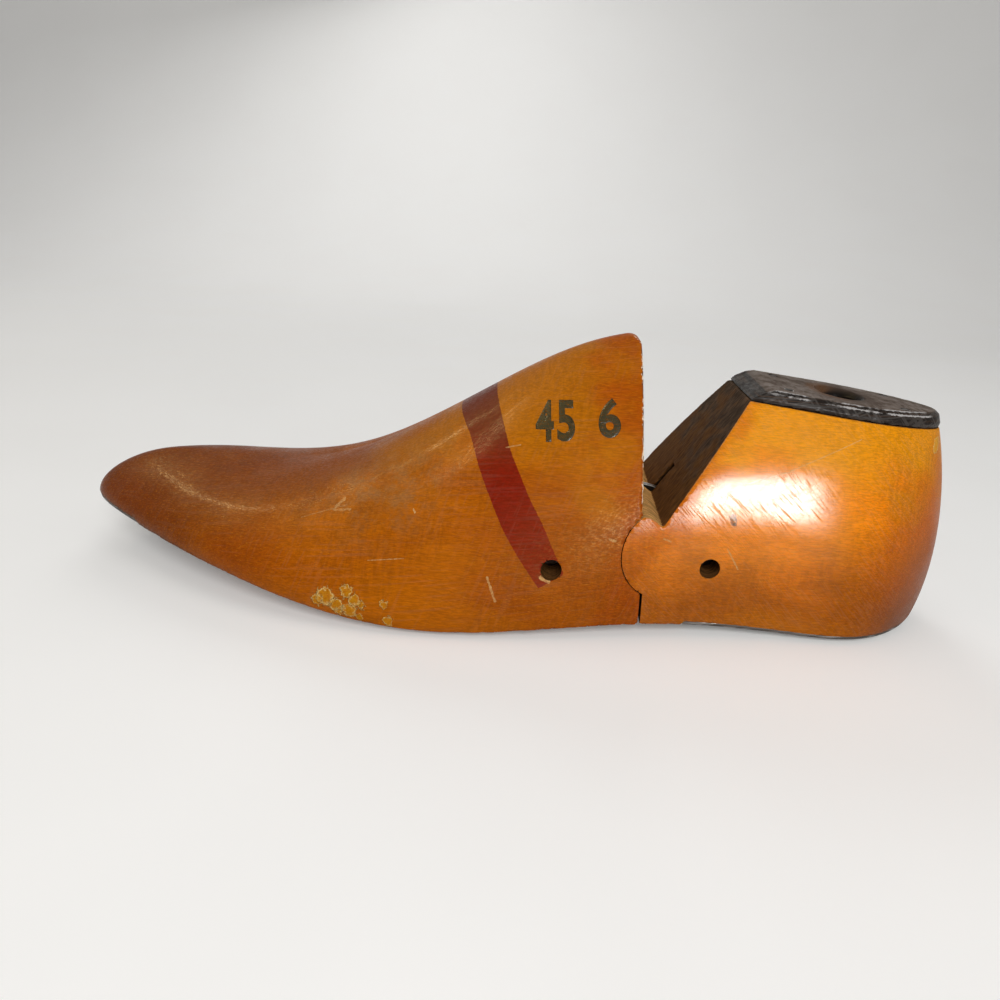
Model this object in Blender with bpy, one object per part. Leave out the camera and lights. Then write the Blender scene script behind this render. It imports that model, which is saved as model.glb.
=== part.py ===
"""Hinged wooden shoe last for a left foot, at its real size.

The wood is lofted round one feather line, the sharp lower edge of the last, and sawn into a
forepart and a heel part. The heel part's round knuckle sits in a socket of the forepart, and a
bowed spring link on two pins joins them across the saw kerf, as in a rule joint.

Station coordinates, in millimetres: "along" runs forward from the back of the heel, y is zero on
the hinge's middle plane and negative on the outer side of the foot, and z is the height.
"""
import math

import bmesh
import bpy
import numpy as np

MM = 0.001

# Feather line, seen from above and from the side
LENGTH = 304.5
FEATHER_BACK_Y = 0.0
FEATHER_TIP_Y = 8.0
FEATHER_OUTER_Y = [(10, -19.2), (30, -30), (60, -32), (90, -35.5), (125, -43), (160, -49), (190, -49.5),
                   (220, -44.5), (250, -33.5), (280, -16.5)]
FEATHER_INNER_Y = [(10, 19.2), (30, 30), (60, 31), (90, 29.5), (125, 28.5), (160, 35), (190, 44), (220, 49.9),
                   (250, 46.5), (280, 35)]
FEATHER_BACK_Z = 3.6
FEATHER_TIP_Z = 18.2
FEATHER_OUTER_Z = [(15, 1.7), (40, 1.7), (70, 3.4), (100, 4.6), (135, 3.2), (170, 2.0), (205, 5.3),
                   (240, 11.1), (275, 15.2)]
FEATHER_INNER_Z = [(15, 1.7), (40, 1.7), (70, 4.6), (100, 9.6), (135, 8.6), (170, 4.1), (205, 3.6),
                   (240, 8.6), (275, 14.6)]

# Ridge along the top, and how far each wall swells from feather line to ridge
RIDGE_BACK = 20.0
RIDGE_FRONT = 272.0
RIDGE_Y = [(20, 0), (70, 0), (120, 1), (170, 5), (220, 11), (272, 11)]
RIDGE_Z = [(20, 93.6), (60, 95.6), (95, 94.6), (122, 89.1), (155, 71.1), (190, 49.2), (222, 37.0),
           (248, 36.2), (272, 35.8)]
SWELL_OUT_OUTER = [(0, 8.5), (30, 8), (70, 7), (110, 5), (160, 4), (210, 4), (260, 2), (LENGTH, 1.5)]
SWELL_OUT_INNER = [(0, 8.5), (30, 8.5), (70, 9.5), (110, 9), (160, 5), (210, 4), (260, 2), (LENGTH, 1.5)]
SWELL_UP_OUTER = [(0, 42), (30, 40), (70, 42), (110, 40), (160, 26), (210, 18), (260, 13), (LENGTH, 9)]
SWELL_UP_INNER = [(0, 42), (30, 40), (70, 42), (110, 42), (160, 34), (210, 26), (260, 17), (LENGTH, 9)]
ROUND_TOP_OUTER = [(0, 6), (30, 11), (70, 10), (110, 12), (160, 20), (210, 26), (260, 19), (LENGTH, 12)]
ROUND_TOP_INNER = [(0, 6), (30, 10), (70, 6.5), (110, 9), (160, 9), (210, 9), (260, 16), (LENGTH, 12)]
CROWN = [(0, 1.5), (30, 2.6), (70, 1.8), (105, 0.6), (140, 2.0), (180, 3.8), (230, 3.2), (275, 2.0),
         (LENGTH, 1.0)]
CROWN_POWER = 2.2
CROWN_FADE = 2.2
AROUND = 96
UP = 13
ROW_POWER = 0.9
ACROSS = 10

# Hinge: knuckle, socket, V cut and seam
KNUCKLE_ALONG = 95.0
KNUCKLE_Z = 29.1
SOCKET_RADIUS = 15.0
KNUCKLE_RADIUS = 14.7
KNUCKLE_STEPS = 20
LIP_ANGLE = math.radians(51.7)
SEAM_TOP_ALONG = 102.55
SEAM_TOP_Z = 17.0
SEAM_LEAN = math.radians(3.4)
SEAM_GAP = 0.8
CONE_LEAN = math.radians(3.9)
CONE_GAP = 0.3
V_BOTTOM_ALONG = 97.7
V_BOTTOM_Z = 37.7
V_LEAN = math.radians(32.3)
LAND_SHOULDER = (100.9, 40.9)
LAND_STEPS = 4
SLOT_WIDTH = 3.5
SLOT_BOTTOM_Z = 14.1
SLOT_FRONT_ALONG = 139.5
SLOT_FRONT_TOP_Z = 51.6
SLOT_BACK_ALONG = 72.0
SLOT_BACK_TOP_Z = 48.3

# Spring link on its two pins
FRONT_PIN = (131.5, 23.9)
BACK_PIN = (81.0, 25.0)
BORE_RADIUS = 3.3
PIN_RADIUS = 3.0
PIN_CHAMFER = 0.4
FRONT_PIN_ENDS = (-34.0, 24.0)
BACK_PIN_ENDS = (-26.0, 26.0)
LINK_RISE = 12.3
LINK_WIDTH = 8.0
LINK_STEPS = 12
LINK_EYE_RADIUS = 6.2
LINK_BORE_RADIUS = 3.3
EYE_STEPS = 18
LINK_STRETCH = 0.95
LINK_PLATE = 1.3
LINK_GAP = 0.3

# Top of the heel part: wood, top piece and jack-pin hole
CAP_FRONT_Z = 76.2
CAP_SLOPE = math.tan(math.radians(5.9))
CAP_GAP = 0.3
CAP_LEVELS = [(0.0, 0.3, 0.3), (1.4, 0.1, 0.3), (3.8, 1.5, 2.4), (4.9, 3.4, 4.2)]
CAP_POINTS = 44
CAP_REACH = 110.0
CAP_NAILS = [(60, -10), (60, 10), (22, -9), (22, 9)]
JACK_ALONG = 39.8
JACK_BORE_RADIUS = 7.0
JACK_BOTTOM_Z = 26.0
THIMBLE_OUTER_RADIUS = 6.7
THIMBLE_INNER_RADIUS = 5.6
THIMBLE_ENDS = (30.0, 71.4)
CAP_HOLE_RADIUS = 6.1
CAP_HOLE_MOUTH = 8.6
CAP_HOLE_BEVEL = 2.6

# Plates let into the bottom, with their nails
PLATE = 1.0
PLATE_GAP = 0.3
PLATE_INSET = 0.5
PLATE_STEPS = 16
PLATE_END = 0.4
HEEL_PLATE_FRONT = 86.9
TOE_PLATE_BACK = 278.5
NAIL_HOLE_RADIUS = 1.5
NAIL_HEAD_RADIUS = 1.2
NAIL_HEAD_HEIGHT = 1.0
NAIL_SHANK_RADIUS = 0.9
NAIL_TIP_RADIUS = 0.5
NAIL_LENGTH = 11.0
NAIL_RECESS = 0.15
HEEL_NAILS = [(14, 0), (30, -20), (30, 20), (56, -22), (56, 22), (80, -16), (80, 16)]
TOE_NAILS = [(283, 0), (283, 18), (295, 8)]
SMOOTH_ANGLE = math.radians(32)

# How far cutters reach past the wood
SIDE_REACH = 80.0
SAW_LOW = -20.0
SAW_HIGH = 120.0
SAW_BACK = -30.0
SAW_FRONT = 330.0
RECESS_REACH = 8.0
HOLE_REACH = 3.0

# Frame: the middle of the whole length, and the lowest point at z = 0
MIDDLE_ALONG = 151.3


def clear_scene():
    for thing in list(bpy.data.objects):
        bpy.data.objects.remove(thing, do_unlink=True)


def make_material(name, color, roughness, metallic=0.0):
    material = bpy.data.materials.new(name)
    material.use_nodes = True
    shader = material.node_tree.nodes["Principled BSDF"]
    shader.inputs["Base Color"].default_value = (*color, 1.0)
    shader.inputs["Roughness"].default_value = roughness
    shader.inputs["Metallic"].default_value = metallic
    material.diffuse_color = (*color, 1.0)
    return material


# Curves through stations

def open_curve(stations):
    """Natural cubic spline through (along, value) stations."""
    x = np.array([s[0] for s in stations], float)
    y = np.array([s[1] for s in stations], float)
    h = np.diff(x)
    system = np.eye(len(x))
    right = np.zeros(len(x))
    for i in range(1, len(x) - 1):
        system[i, i - 1:i + 2] = h[i - 1], 2 * (h[i - 1] + h[i]), h[i]
        right[i] = 6 * ((y[i + 1] - y[i]) / h[i] - (y[i] - y[i - 1]) / h[i - 1])
    bend = np.linalg.solve(system, right)

    def value(at):
        k = np.clip(np.searchsorted(x, at) - 1, 0, len(x) - 2)
        return spline_piece(at - x[k], h[k], y[k], y[k + 1], bend[k], bend[k + 1])
    return value


def loop_curve(back, outer, tip, inner):
    """Closed cubic spline round the feather line, over an angle that is 0 at the heel, pi at the toe."""
    x = [0.0] + [to_angle(s[0]) for s in outer] + [math.pi]
    x += [2 * math.pi - to_angle(s[0]) for s in reversed(inner)]
    y = [back] + [s[1] for s in outer] + [tip] + [s[1] for s in reversed(inner)]
    x = np.array(x)
    y = np.array(y, float)
    count = len(x)
    h = np.diff(np.append(x, x[0] + 2 * math.pi))
    system = np.zeros((count, count))
    right = np.zeros(count)
    for i in range(count):
        following = (i + 1) % count
        system[i, i - 1] += h[i - 1]
        system[i, i] += 2 * (h[i - 1] + h[i])
        system[i, following] += h[i]
        right[i] = 6 * ((y[following] - y[i]) / h[i] - (y[i] - y[i - 1]) / h[i - 1])
    bend = np.linalg.solve(system, right)

    def value(angle):
        angle = np.asarray(angle, float) % (2 * math.pi)
        k = np.clip(np.searchsorted(x, angle, side="right") - 1, 0, count - 1)
        n = (k + 1) % count
        return spline_piece(angle - x[k], h[k], y[k], y[n], bend[k], bend[n])
    return value


def spline_piece(t, h, y0, y1, bend0, bend1):
    cubic = (bend0 * (h - t) ** 3 + bend1 * t ** 3) / (6 * h)
    return cubic + (y0 / h - bend0 * h / 6) * (h - t) + (y1 / h - bend1 * h / 6) * t


def to_angle(along):
    return math.acos(1 - 2 * along / LENGTH)


def swell_loop(outer, inner):
    """The same kind of loop, from two station lists that both start at the heel and end at the toe."""
    return loop_curve(outer[0][1], outer[1:-1], outer[-1][1], inner[1:-1])


feather_y = loop_curve(FEATHER_BACK_Y, FEATHER_OUTER_Y, FEATHER_TIP_Y, FEATHER_INNER_Y)
feather_z = loop_curve(FEATHER_BACK_Z, FEATHER_OUTER_Z, FEATHER_TIP_Z, FEATHER_INNER_Z)
swell_out = swell_loop(SWELL_OUT_OUTER, SWELL_OUT_INNER)
swell_up = swell_loop(SWELL_UP_OUTER, SWELL_UP_INNER)
round_top = swell_loop(ROUND_TOP_OUTER, ROUND_TOP_INNER)
ridge_y = open_curve(RIDGE_Y)
ridge_z = open_curve(RIDGE_Z)
crown = open_curve(CROWN)


def wall_points(angles, steps):
    """Rows of points from the feather line up to the ridge, one row for each angle."""
    along = LENGTH * (1 - np.cos(angles)) / 2
    ridge_along = RIDGE_BACK + (RIDGE_FRONT - RIDGE_BACK) * along / LENGTH
    foot = np.stack([along, feather_y(angles), feather_z(angles)], axis=1)
    top = np.stack([ridge_along, ridge_y(ridge_along), ridge_z(ridge_along)], axis=1)
    outward = foot - top
    outward[:, 2] = 0
    outward /= np.linalg.norm(outward, axis=1)[:, None]
    lower = foot + outward * swell_out(angles)[:, None] + np.array([0, 0, 1]) * swell_up(angles)[:, None]
    upper = top + outward * round_top(angles)[:, None]
    v = steps[None, :, None]
    return ((1 - v) ** 3 * foot[:, None] + 3 * v * (1 - v) ** 2 * lower[:, None]
            + 3 * v ** 2 * (1 - v) * upper[:, None] + v ** 3 * top[:, None])


def bottom_points(angles, across):
    """Rows of points across the crowned bottom; it is flat where it would reach below the ground."""
    along = LENGTH * (1 - np.cos(angles)) / 2
    inner = 2 * math.pi - angles
    t = across[None]
    y = (feather_y(angles)[:, None] * (1 - t) + feather_y(inner)[:, None] * (1 + t)) / 2
    edge = (feather_z(angles)[:, None] * (1 - t) + feather_z(inner)[:, None] * (1 + t)) / 2
    drop = crown(along) * np.minimum(1.0, np.sin(angles) * CROWN_FADE)
    z = np.maximum(edge - drop[:, None] * (1 - np.abs(t) ** CROWN_POWER), 0.0)
    return np.stack([np.repeat(along[:, None], len(across), axis=1), y, z], axis=-1)


def bottom_z(along, y):
    """Height of the bottom at one place."""
    angle = np.array([to_angle(along)])
    outer = feather_y(angle)[0]
    inner = feather_y(2 * math.pi - angle)[0]
    t = 2 * (y - outer) / (inner - outer) - 1
    return float(bottom_points(angle, np.array([t]))[0, 0, 2])


# Meshes

def to_world(point):
    return ((MIDDLE_ALONG - point[0]) * MM, point[1] * MM, point[2] * MM)


def make_object(name, points, faces, material=None, pivot=(MIDDLE_ALONG, 0.0, 0.0)):
    """Closed mesh object from station points, with its origin at the pivot."""
    home = to_world(pivot)
    mesh = bpy.data.meshes.new(name)
    work = bmesh.new()
    verts = [work.verts.new([w - h for w, h in zip(to_world(p), home)]) for p in points]
    for face in faces:
        work.faces.new([verts[i] for i in face])
    bmesh.ops.recalc_face_normals(work, faces=work.faces)
    if work.calc_volume(signed=True) < 0:
        bmesh.ops.reverse_faces(work, faces=work.faces)
    work.to_mesh(mesh)
    work.free()
    mesh.shade_smooth()
    mesh.set_sharp_from_angle(angle=SMOOTH_ANGLE)
    thing = bpy.data.objects.new(name, mesh)
    thing.location = home
    bpy.context.scene.collection.objects.link(thing)
    if material:
        mesh.materials.append(material)
    return thing


def hide_cutter(thing):
    thing.hide_render = True
    thing.display_type = "WIRE"
    return thing


def apply_boolean(thing, other, operation="DIFFERENCE"):
    modifier = thing.modifiers.new(other.name, "BOOLEAN")
    modifier.operation = operation
    modifier.solver = "EXACT"
    modifier.object = other


def loft(rings, closed_ends=True):
    """Points and faces of a stack of equal rings."""
    count = len(rings[0])
    points = [p for ring in rings for p in ring]
    faces = []
    for level in range(len(rings) - 1):
        for i in range(count):
            j = (i + 1) % count
            low = level * count
            faces.append((low + i, low + j, low + count + j, low + count + i))
    if closed_ends:
        faces.append(tuple(reversed(range(count))))
        faces.append(tuple(range(len(points) - count, len(points))))
    return points, faces


def merge_shapes(shapes):
    """Points and faces of several separate solids as one list."""
    points, faces = [], []
    for shape_points, shape_faces in shapes:
        start = len(points)
        points += shape_points
        faces += [tuple(start + i for i in face) for face in shape_faces]
    return points, faces


def side_prism(outline, y_low, y_high):
    """Outline of (along, z) points, extruded across the last."""
    return loft([[(a, y, z) for a, z in outline] for y in (y_low, y_high)])


def circle(center, radius, sides, start=0.0, end=2 * math.pi, closed=False):
    steps = sides + 1 if closed else sides
    angles = [start + (end - start) * i / sides for i in range(steps)]
    return [(center[0] + radius * math.cos(t), center[1] + radius * math.sin(t)) for t in angles]


def cross_rod(center, radius, ends, sides=20, chamfer=0.0):
    """Round rod lying across the last, with or without chamfered ends."""
    profile = [(ends[0], radius), (ends[1], radius)]
    if chamfer:
        profile = [(ends[0], radius - chamfer), (ends[0] + chamfer, radius),
                   (ends[1] - chamfer, radius), (ends[1], radius - chamfer)]
    return loft([[(a, y, z) for a, z in circle(center, r, sides)] for y, r in profile])


def upright(along, y, profile, sides=20):
    """Solid turned about a vertical axis, from (radius, z) pairs."""
    return loft([[(a, b, z) for a, b in circle((along, y), r, sides)] for r, z in profile])


def tube(along, y, outer, inner, ends, sides=24):
    rings = [[(a, b, z) for a, b in circle((along, y), r, sides)]
             for r, z in ((outer, ends[0]), (outer, ends[1]), (inner, ends[1]), (inner, ends[0]))]
    points, faces = loft(rings + [rings[0]], closed_ends=False)
    count = sides * 4
    return points[:count], [tuple(i % count for i in face) for face in faces]


# The whole last, before it is sawn

def last_shape():
    """Closed form: side walls, ridge and crowned bottom."""
    half = AROUND // 2
    angles = 2 * math.pi * np.arange(AROUND) / AROUND
    steps = (np.arange(UP + 1) / UP) ** ROW_POWER
    wall = wall_points(angles, steps)
    points, index = [], {}
    for i in range(AROUND):
        for j in range(UP + 1):
            twin = AROUND - i if j == UP and i > half else i
            index[i, j] = index[twin, j] if twin != i else len(points)
            if twin == i:
                points.append(tuple(wall[i, j]))
    faces = []
    for i in range(AROUND):
        following = (i + 1) % AROUND
        for j in range(UP):
            corners = [index[i, j], index[following, j], index[following, j + 1], index[i, j + 1]]
            faces.append(tuple(dict.fromkeys(corners)))
    across = np.linspace(-1, 1, ACROSS + 1)
    bottom = bottom_points(angles[:half + 1], across)
    rows = []
    for i in range(half + 1):
        if i in (0, half):
            rows.append([index[i, 0]])
            continue
        row = [index[i, 0]]
        for j in range(1, ACROSS):
            row.append(len(points))
            points.append(tuple(bottom[i, j]))
        rows.append(row + [index[AROUND - i, 0]])
    for near, far in zip(rows, rows[1:]):
        for j in range(ACROSS):
            corners = [near[min(j, len(near) - 1)], near[min(j + 1, len(near) - 1)],
                       far[min(j + 1, len(far) - 1)], far[min(j, len(far) - 1)]]
            faces.append(tuple(dict.fromkeys(corners)))
    return points, faces


# Saw lines between the two halves, as (along, z)

def cone_along(z):
    """Back face of the forepart's cone, which meets the socket's upper lip."""
    lip = (KNUCKLE_ALONG + SOCKET_RADIUS * math.cos(LIP_ANGLE),
           KNUCKLE_Z + SOCKET_RADIUS * math.sin(LIP_ANGLE))
    return lip[0] + (z - lip[1]) * math.tan(CONE_LEAN)


def seam_along(z):
    return SEAM_TOP_ALONG + (z - SEAM_TOP_Z) * math.tan(SEAM_LEAN)


def back_seam_along(z):
    return seam_along(z) - SEAM_GAP


def knuckle_top_along(z):
    return cone_along(z) - CONE_GAP


def v_along(z):
    return V_BOTTOM_ALONG - (z - V_BOTTOM_Z) * math.tan(V_LEAN)


def cap_z(along):
    """Top of the heel part's wood."""
    return CAP_FRONT_Z + (along - v_along(CAP_FRONT_Z)) * CAP_SLOPE


def circle_crossing(line_along, radius, side):
    """Where a saw line meets a circle about the knuckle's centre, below it (-1) or above it (1)."""
    z = KNUCKLE_Z + side * radius
    for _ in range(60):
        reach = line_along(z) - KNUCKLE_ALONG
        z = KNUCKLE_Z + side * math.sqrt(max(radius ** 2 - reach ** 2, 0.0))
    return line_along(z), z


def arc_between(radius, low, high):
    """Arc about the knuckle's centre between two points on it."""
    start = math.atan2(low[1] - KNUCKLE_Z, low[0] - KNUCKLE_ALONG)
    end = math.atan2(high[1] - KNUCKLE_Z, high[0] - KNUCKLE_ALONG)
    return circle((KNUCKLE_ALONG, KNUCKLE_Z), radius, KNUCKLE_STEPS, start, end, closed=True)


def forepart_outline():
    """Seam, round socket and the cone's back face, then round the outside."""
    low = circle_crossing(seam_along, SOCKET_RADIUS, -1)
    high = circle_crossing(cone_along, SOCKET_RADIUS, 1)
    outline = [(seam_along(SAW_LOW), SAW_LOW)] + arc_between(SOCKET_RADIUS, low, high)
    return outline + [(cone_along(SAW_HIGH), SAW_HIGH), (SAW_FRONT, SAW_HIGH), (SAW_FRONT, SAW_LOW)]


def heel_outline():
    """Seam, round knuckle with its sunk land, V face and the sloping top."""
    low = circle_crossing(back_seam_along, KNUCKLE_RADIUS, -1)
    high = circle_crossing(knuckle_top_along, KNUCKLE_RADIUS, 1)
    bottom = (V_BOTTOM_ALONG, V_BOTTOM_Z)
    outline = [(back_seam_along(SAW_LOW), SAW_LOW)] + arc_between(KNUCKLE_RADIUS, low, high)
    for number in range(1, LAND_STEPS):
        step = number / LAND_STEPS
        outline.append(tuple((1 - step) ** 2 * h + 2 * step * (1 - step) * s + step ** 2 * b
                             for h, s, b in zip(high, LAND_SHOULDER, bottom)))
    outline += [bottom, (v_along(CAP_FRONT_Z), CAP_FRONT_Z)]
    return outline + [(SAW_BACK, cap_z(SAW_BACK)), (SAW_BACK, SAW_LOW)]


def slot_cutter(name, back, front, top):
    """Saw slot for the link, open towards the joint."""
    outline = [(back, SLOT_BOTTOM_Z), (front, SLOT_BOTTOM_Z), (front, top), (back, top)]
    shape = side_prism(outline, -SLOT_WIDTH / 2, SLOT_WIDTH / 2)
    return hide_cutter(make_object(name, *shape))


# Spring link

def link_bow():
    """Centre and radius of the arc through both pins that the link follows."""
    chord = math.dist(FRONT_PIN, BACK_PIN)
    radius = (chord ** 2 / 4 + LINK_RISE ** 2) / (2 * LINK_RISE)
    tilt = math.atan2(FRONT_PIN[1] - BACK_PIN[1], FRONT_PIN[0] - BACK_PIN[0])
    drop = radius - LINK_RISE
    center = ((FRONT_PIN[0] + BACK_PIN[0]) / 2 + drop * math.sin(tilt),
              (FRONT_PIN[1] + BACK_PIN[1]) / 2 - drop * math.cos(tilt))
    return center, radius


def link_outline():
    """Bowed bar with a round eye at each end, as one outline of (along, z) points."""
    center, radius = link_bow()
    outer_reach, inner_reach = [
        math.acos(((radius + edge) ** 2 - radius ** 2 - LINK_EYE_RADIUS ** 2) / (2 * radius * LINK_EYE_RADIUS))
        for edge in (LINK_WIDTH / 2, -LINK_WIDTH / 2)]
    front, back = [math.atan2(pin[1] - center[1], pin[0] - center[0]) for pin in (FRONT_PIN, BACK_PIN)]
    front_eye = circle(FRONT_PIN, LINK_EYE_RADIUS, EYE_STEPS, front + outer_reach,
                       front + inner_reach - 2 * math.pi, closed=True)
    back_eye = circle(BACK_PIN, LINK_EYE_RADIUS, EYE_STEPS, back - inner_reach + 2 * math.pi,
                      back - outer_reach, closed=True)
    inner_edge = bow_edge(center, radius - LINK_WIDTH / 2, front_eye[-1], back_eye[0])
    outer_edge = bow_edge(center, radius + LINK_WIDTH / 2, back_eye[-1], front_eye[0])
    return front_eye + inner_edge + back_eye + outer_edge


def bow_edge(center, radius, start, end):
    """Points of the bow between two eyes, without its end points."""
    first, final = [math.atan2(point[1] - center[1], point[0] - center[0]) for point in (start, end)]
    return circle(center, radius, LINK_STEPS, first, final, closed=True)[1:-1]


def link_eye_cutter():
    """Round front eye, and a back eye lengthened by the link's stretch."""
    reach = [(b - f) / math.dist(FRONT_PIN, BACK_PIN) for f, b in zip(FRONT_PIN, BACK_PIN)]
    heading = math.atan2(reach[1], reach[0])
    far = (BACK_PIN[0] + reach[0] * LINK_STRETCH, BACK_PIN[1] + reach[1] * LINK_STRETCH)
    slot = circle(BACK_PIN, LINK_BORE_RADIUS, 10, heading + math.pi / 2, heading + 1.5 * math.pi, closed=True)
    slot += circle(far, LINK_BORE_RADIUS, 10, heading - math.pi / 2, heading + math.pi / 2, closed=True)
    round_eye = circle(FRONT_PIN, LINK_BORE_RADIUS, 20)
    shapes = [side_prism(slot, -SLOT_WIDTH, SLOT_WIDTH), side_prism(round_eye, -SLOT_WIDTH, SLOT_WIDTH)]
    return hide_cutter(make_object("link_eye_cutter", *merge_shapes(shapes)))


# Plates and nails

def plate_rows(back, front, inset, overhang=0.0):
    """Grid of bottom points between two stations, drawn in from the feather line or reaching past it."""
    low = to_angle(max(back, PLATE_END))
    high = to_angle(min(front, LENGTH - PLATE_END))
    angles = np.linspace(low, high, PLATE_STEPS + 1)
    grid = bottom_points(angles, np.linspace(-1, 1, ACROSS + 1))
    grid[:, 0, 1] += inset
    grid[:, -1, 1] -= inset
    grid[0, :, 0] += inset if back <= 0 else 0
    grid[-1, :, 0] -= inset if front >= LENGTH else 0
    if not overhang:
        return grid
    outer = grid[:, :1] - np.array([0, overhang, 0])
    inner = grid[:, -1:] + np.array([0, overhang, 0])
    grid = np.concatenate([outer, grid, inner], axis=1)
    if back <= 0:
        grid = np.concatenate([grid[:1] - np.array([overhang, 0, 0]), grid])
    if front >= LENGTH:
        grid = np.concatenate([grid, grid[-1:] + np.array([overhang, 0, 0])])
    return grid


def slab(grid, low, high):
    """Closed solid between two copies of a grid, moved down and up."""
    rows, columns = grid.shape[:2]
    points = [tuple(p + np.array([0, 0, shift])) for shift in (low, high) for p in grid.reshape(-1, 3)]
    size = rows * columns
    faces = []
    for i in range(rows - 1):
        for j in range(columns - 1):
            corner = i * columns + j
            quad = (corner, corner + 1, corner + columns + 1, corner + columns)
            faces.append(quad)
            faces.append(tuple(size + k for k in reversed(quad)))
    rim = [i * columns for i in range(rows)]
    rim += [(rows - 1) * columns + j for j in range(1, columns)]
    rim += [i * columns + columns - 1 for i in range(rows - 2, -1, -1)]
    rim += list(range(columns - 2, 0, -1))
    for a, b in zip(rim, rim[1:] + rim[:1]):
        faces.append((a, b, size + b, size + a))
    return points, faces


def build_nails(name, places, face_z, steel, pivot, up=1):
    """Tapered nails with heads just below the face, and one cutter for the holes that clear them."""
    holes = []
    for number, (along, y) in enumerate(places, start=1):
        face = face_z(along, y)
        head = face + up * NAIL_RECESS
        tip = head + up * NAIL_LENGTH
        profile = [(NAIL_HEAD_RADIUS, head), (NAIL_SHANK_RADIUS, head + up * NAIL_HEAD_HEIGHT),
                   (NAIL_TIP_RADIUS, tip)]
        make_object(f"{name}_{number}", *upright(along, y, profile, sides=10), steel, pivot=pivot)
        hole = [(NAIL_HOLE_RADIUS, face - up * HOLE_REACH), (NAIL_HOLE_RADIUS, tip + up * PLATE_GAP)]
        holes.append(upright(along, y, hole, sides=12))
    return hide_cutter(make_object(f"{name}_holes", *merge_shapes(holes)))


# Top piece

def cap_outline():
    """Where the walls meet the top of the heel part's wood, from outer front to inner front."""
    angles = np.linspace(to_angle(CAP_REACH), -to_angle(CAP_REACH), 161)
    wall = wall_points(angles % (2 * math.pi), np.linspace(0, 1, 400))
    return np.array([row[int(np.argmax(row[:, 2] > cap_z(row[:, 0]))), :2] for row in wall])


def inset_outline(outline, distance):
    """The same open outline, moved towards its inside."""
    heading = np.gradient(outline, axis=0)
    heading /= np.linalg.norm(heading, axis=1)[:, None]
    normal = np.stack([-heading[:, 1], heading[:, 0]], axis=1)
    return outline - normal * distance


def trim_outline(outline, front):
    """Part of an outline behind a station, resampled to equal steps."""
    inside = np.nonzero(outline[:, 0] < front)[0]
    first, final = inside[0], inside[-1]
    ends = []
    for kept, lost in ((first, first - 1), (final, final + 1)):
        share = (front - outline[kept, 0]) / (outline[lost, 0] - outline[kept, 0])
        ends.append(outline[kept] + (outline[lost] - outline[kept]) * share)
    path = np.vstack([ends[0], outline[first:final + 1], ends[1]])
    run = np.concatenate([[0], np.cumsum(np.linalg.norm(np.diff(path, axis=0), axis=1))])
    at = np.linspace(0, run[-1], CAP_POINTS)
    return np.stack([np.interp(at, run, path[:, 0]), np.interp(at, run, path[:, 1])], axis=1)


def cap_shape():
    """Bevelled slab that follows the wood's outline under it."""
    outline = cap_outline()
    rings = []
    for height, inset, front_inset in CAP_LEVELS:
        front = v_along(CAP_FRONT_Z + CAP_GAP + height) - front_inset
        ring = trim_outline(inset_outline(outline, inset), front)
        rings.append([(a, y, cap_z(a) + CAP_GAP + height) for a, y in ring])
    return loft(rings)


def cap_top(along, y):
    return cap_z(along) + CAP_GAP + CAP_LEVELS[-1][0]


# Assembly

def build_forepart(last, wood, steel):
    forepart = make_object("forepart", *last, wood)
    keep = hide_cutter(make_object("forepart_saw", *side_prism(forepart_outline(), -SIDE_REACH, SIDE_REACH)))
    apply_boolean(forepart, keep, "INTERSECT")
    apply_boolean(forepart, slot_cutter("forepart_slot", KNUCKLE_ALONG, SLOT_FRONT_ALONG, SLOT_FRONT_TOP_Z))
    bore = cross_rod(FRONT_PIN, BORE_RADIUS, (-SIDE_REACH, SIDE_REACH), sides=24)
    apply_boolean(forepart, hide_cutter(make_object("front_bore", *bore)))
    recess = slab(plate_rows(TOE_PLATE_BACK, LENGTH, 0.0, RECESS_REACH), -RECESS_REACH, PLATE + PLATE_GAP)
    apply_boolean(forepart, hide_cutter(make_object("toe_recess", *recess)))
    plate = slab(plate_rows(TOE_PLATE_BACK + PLATE_GAP, LENGTH, PLATE_INSET), 0.0, PLATE)
    toe_plate = make_object("toe_plate", *plate, steel)
    hole_cutter = build_nails("toe_plate_nail", TOE_NAILS, bottom_z, steel, (MIDDLE_ALONG, 0.0, 0.0))
    apply_boolean(toe_plate, hole_cutter)
    apply_boolean(forepart, hole_cutter)
    pin = cross_rod(FRONT_PIN, PIN_RADIUS, FRONT_PIN_ENDS, chamfer=PIN_CHAMFER)
    make_object("front_hinge_pin", *pin, steel, pivot=(FRONT_PIN[0], 0.0, FRONT_PIN[1]))


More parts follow.
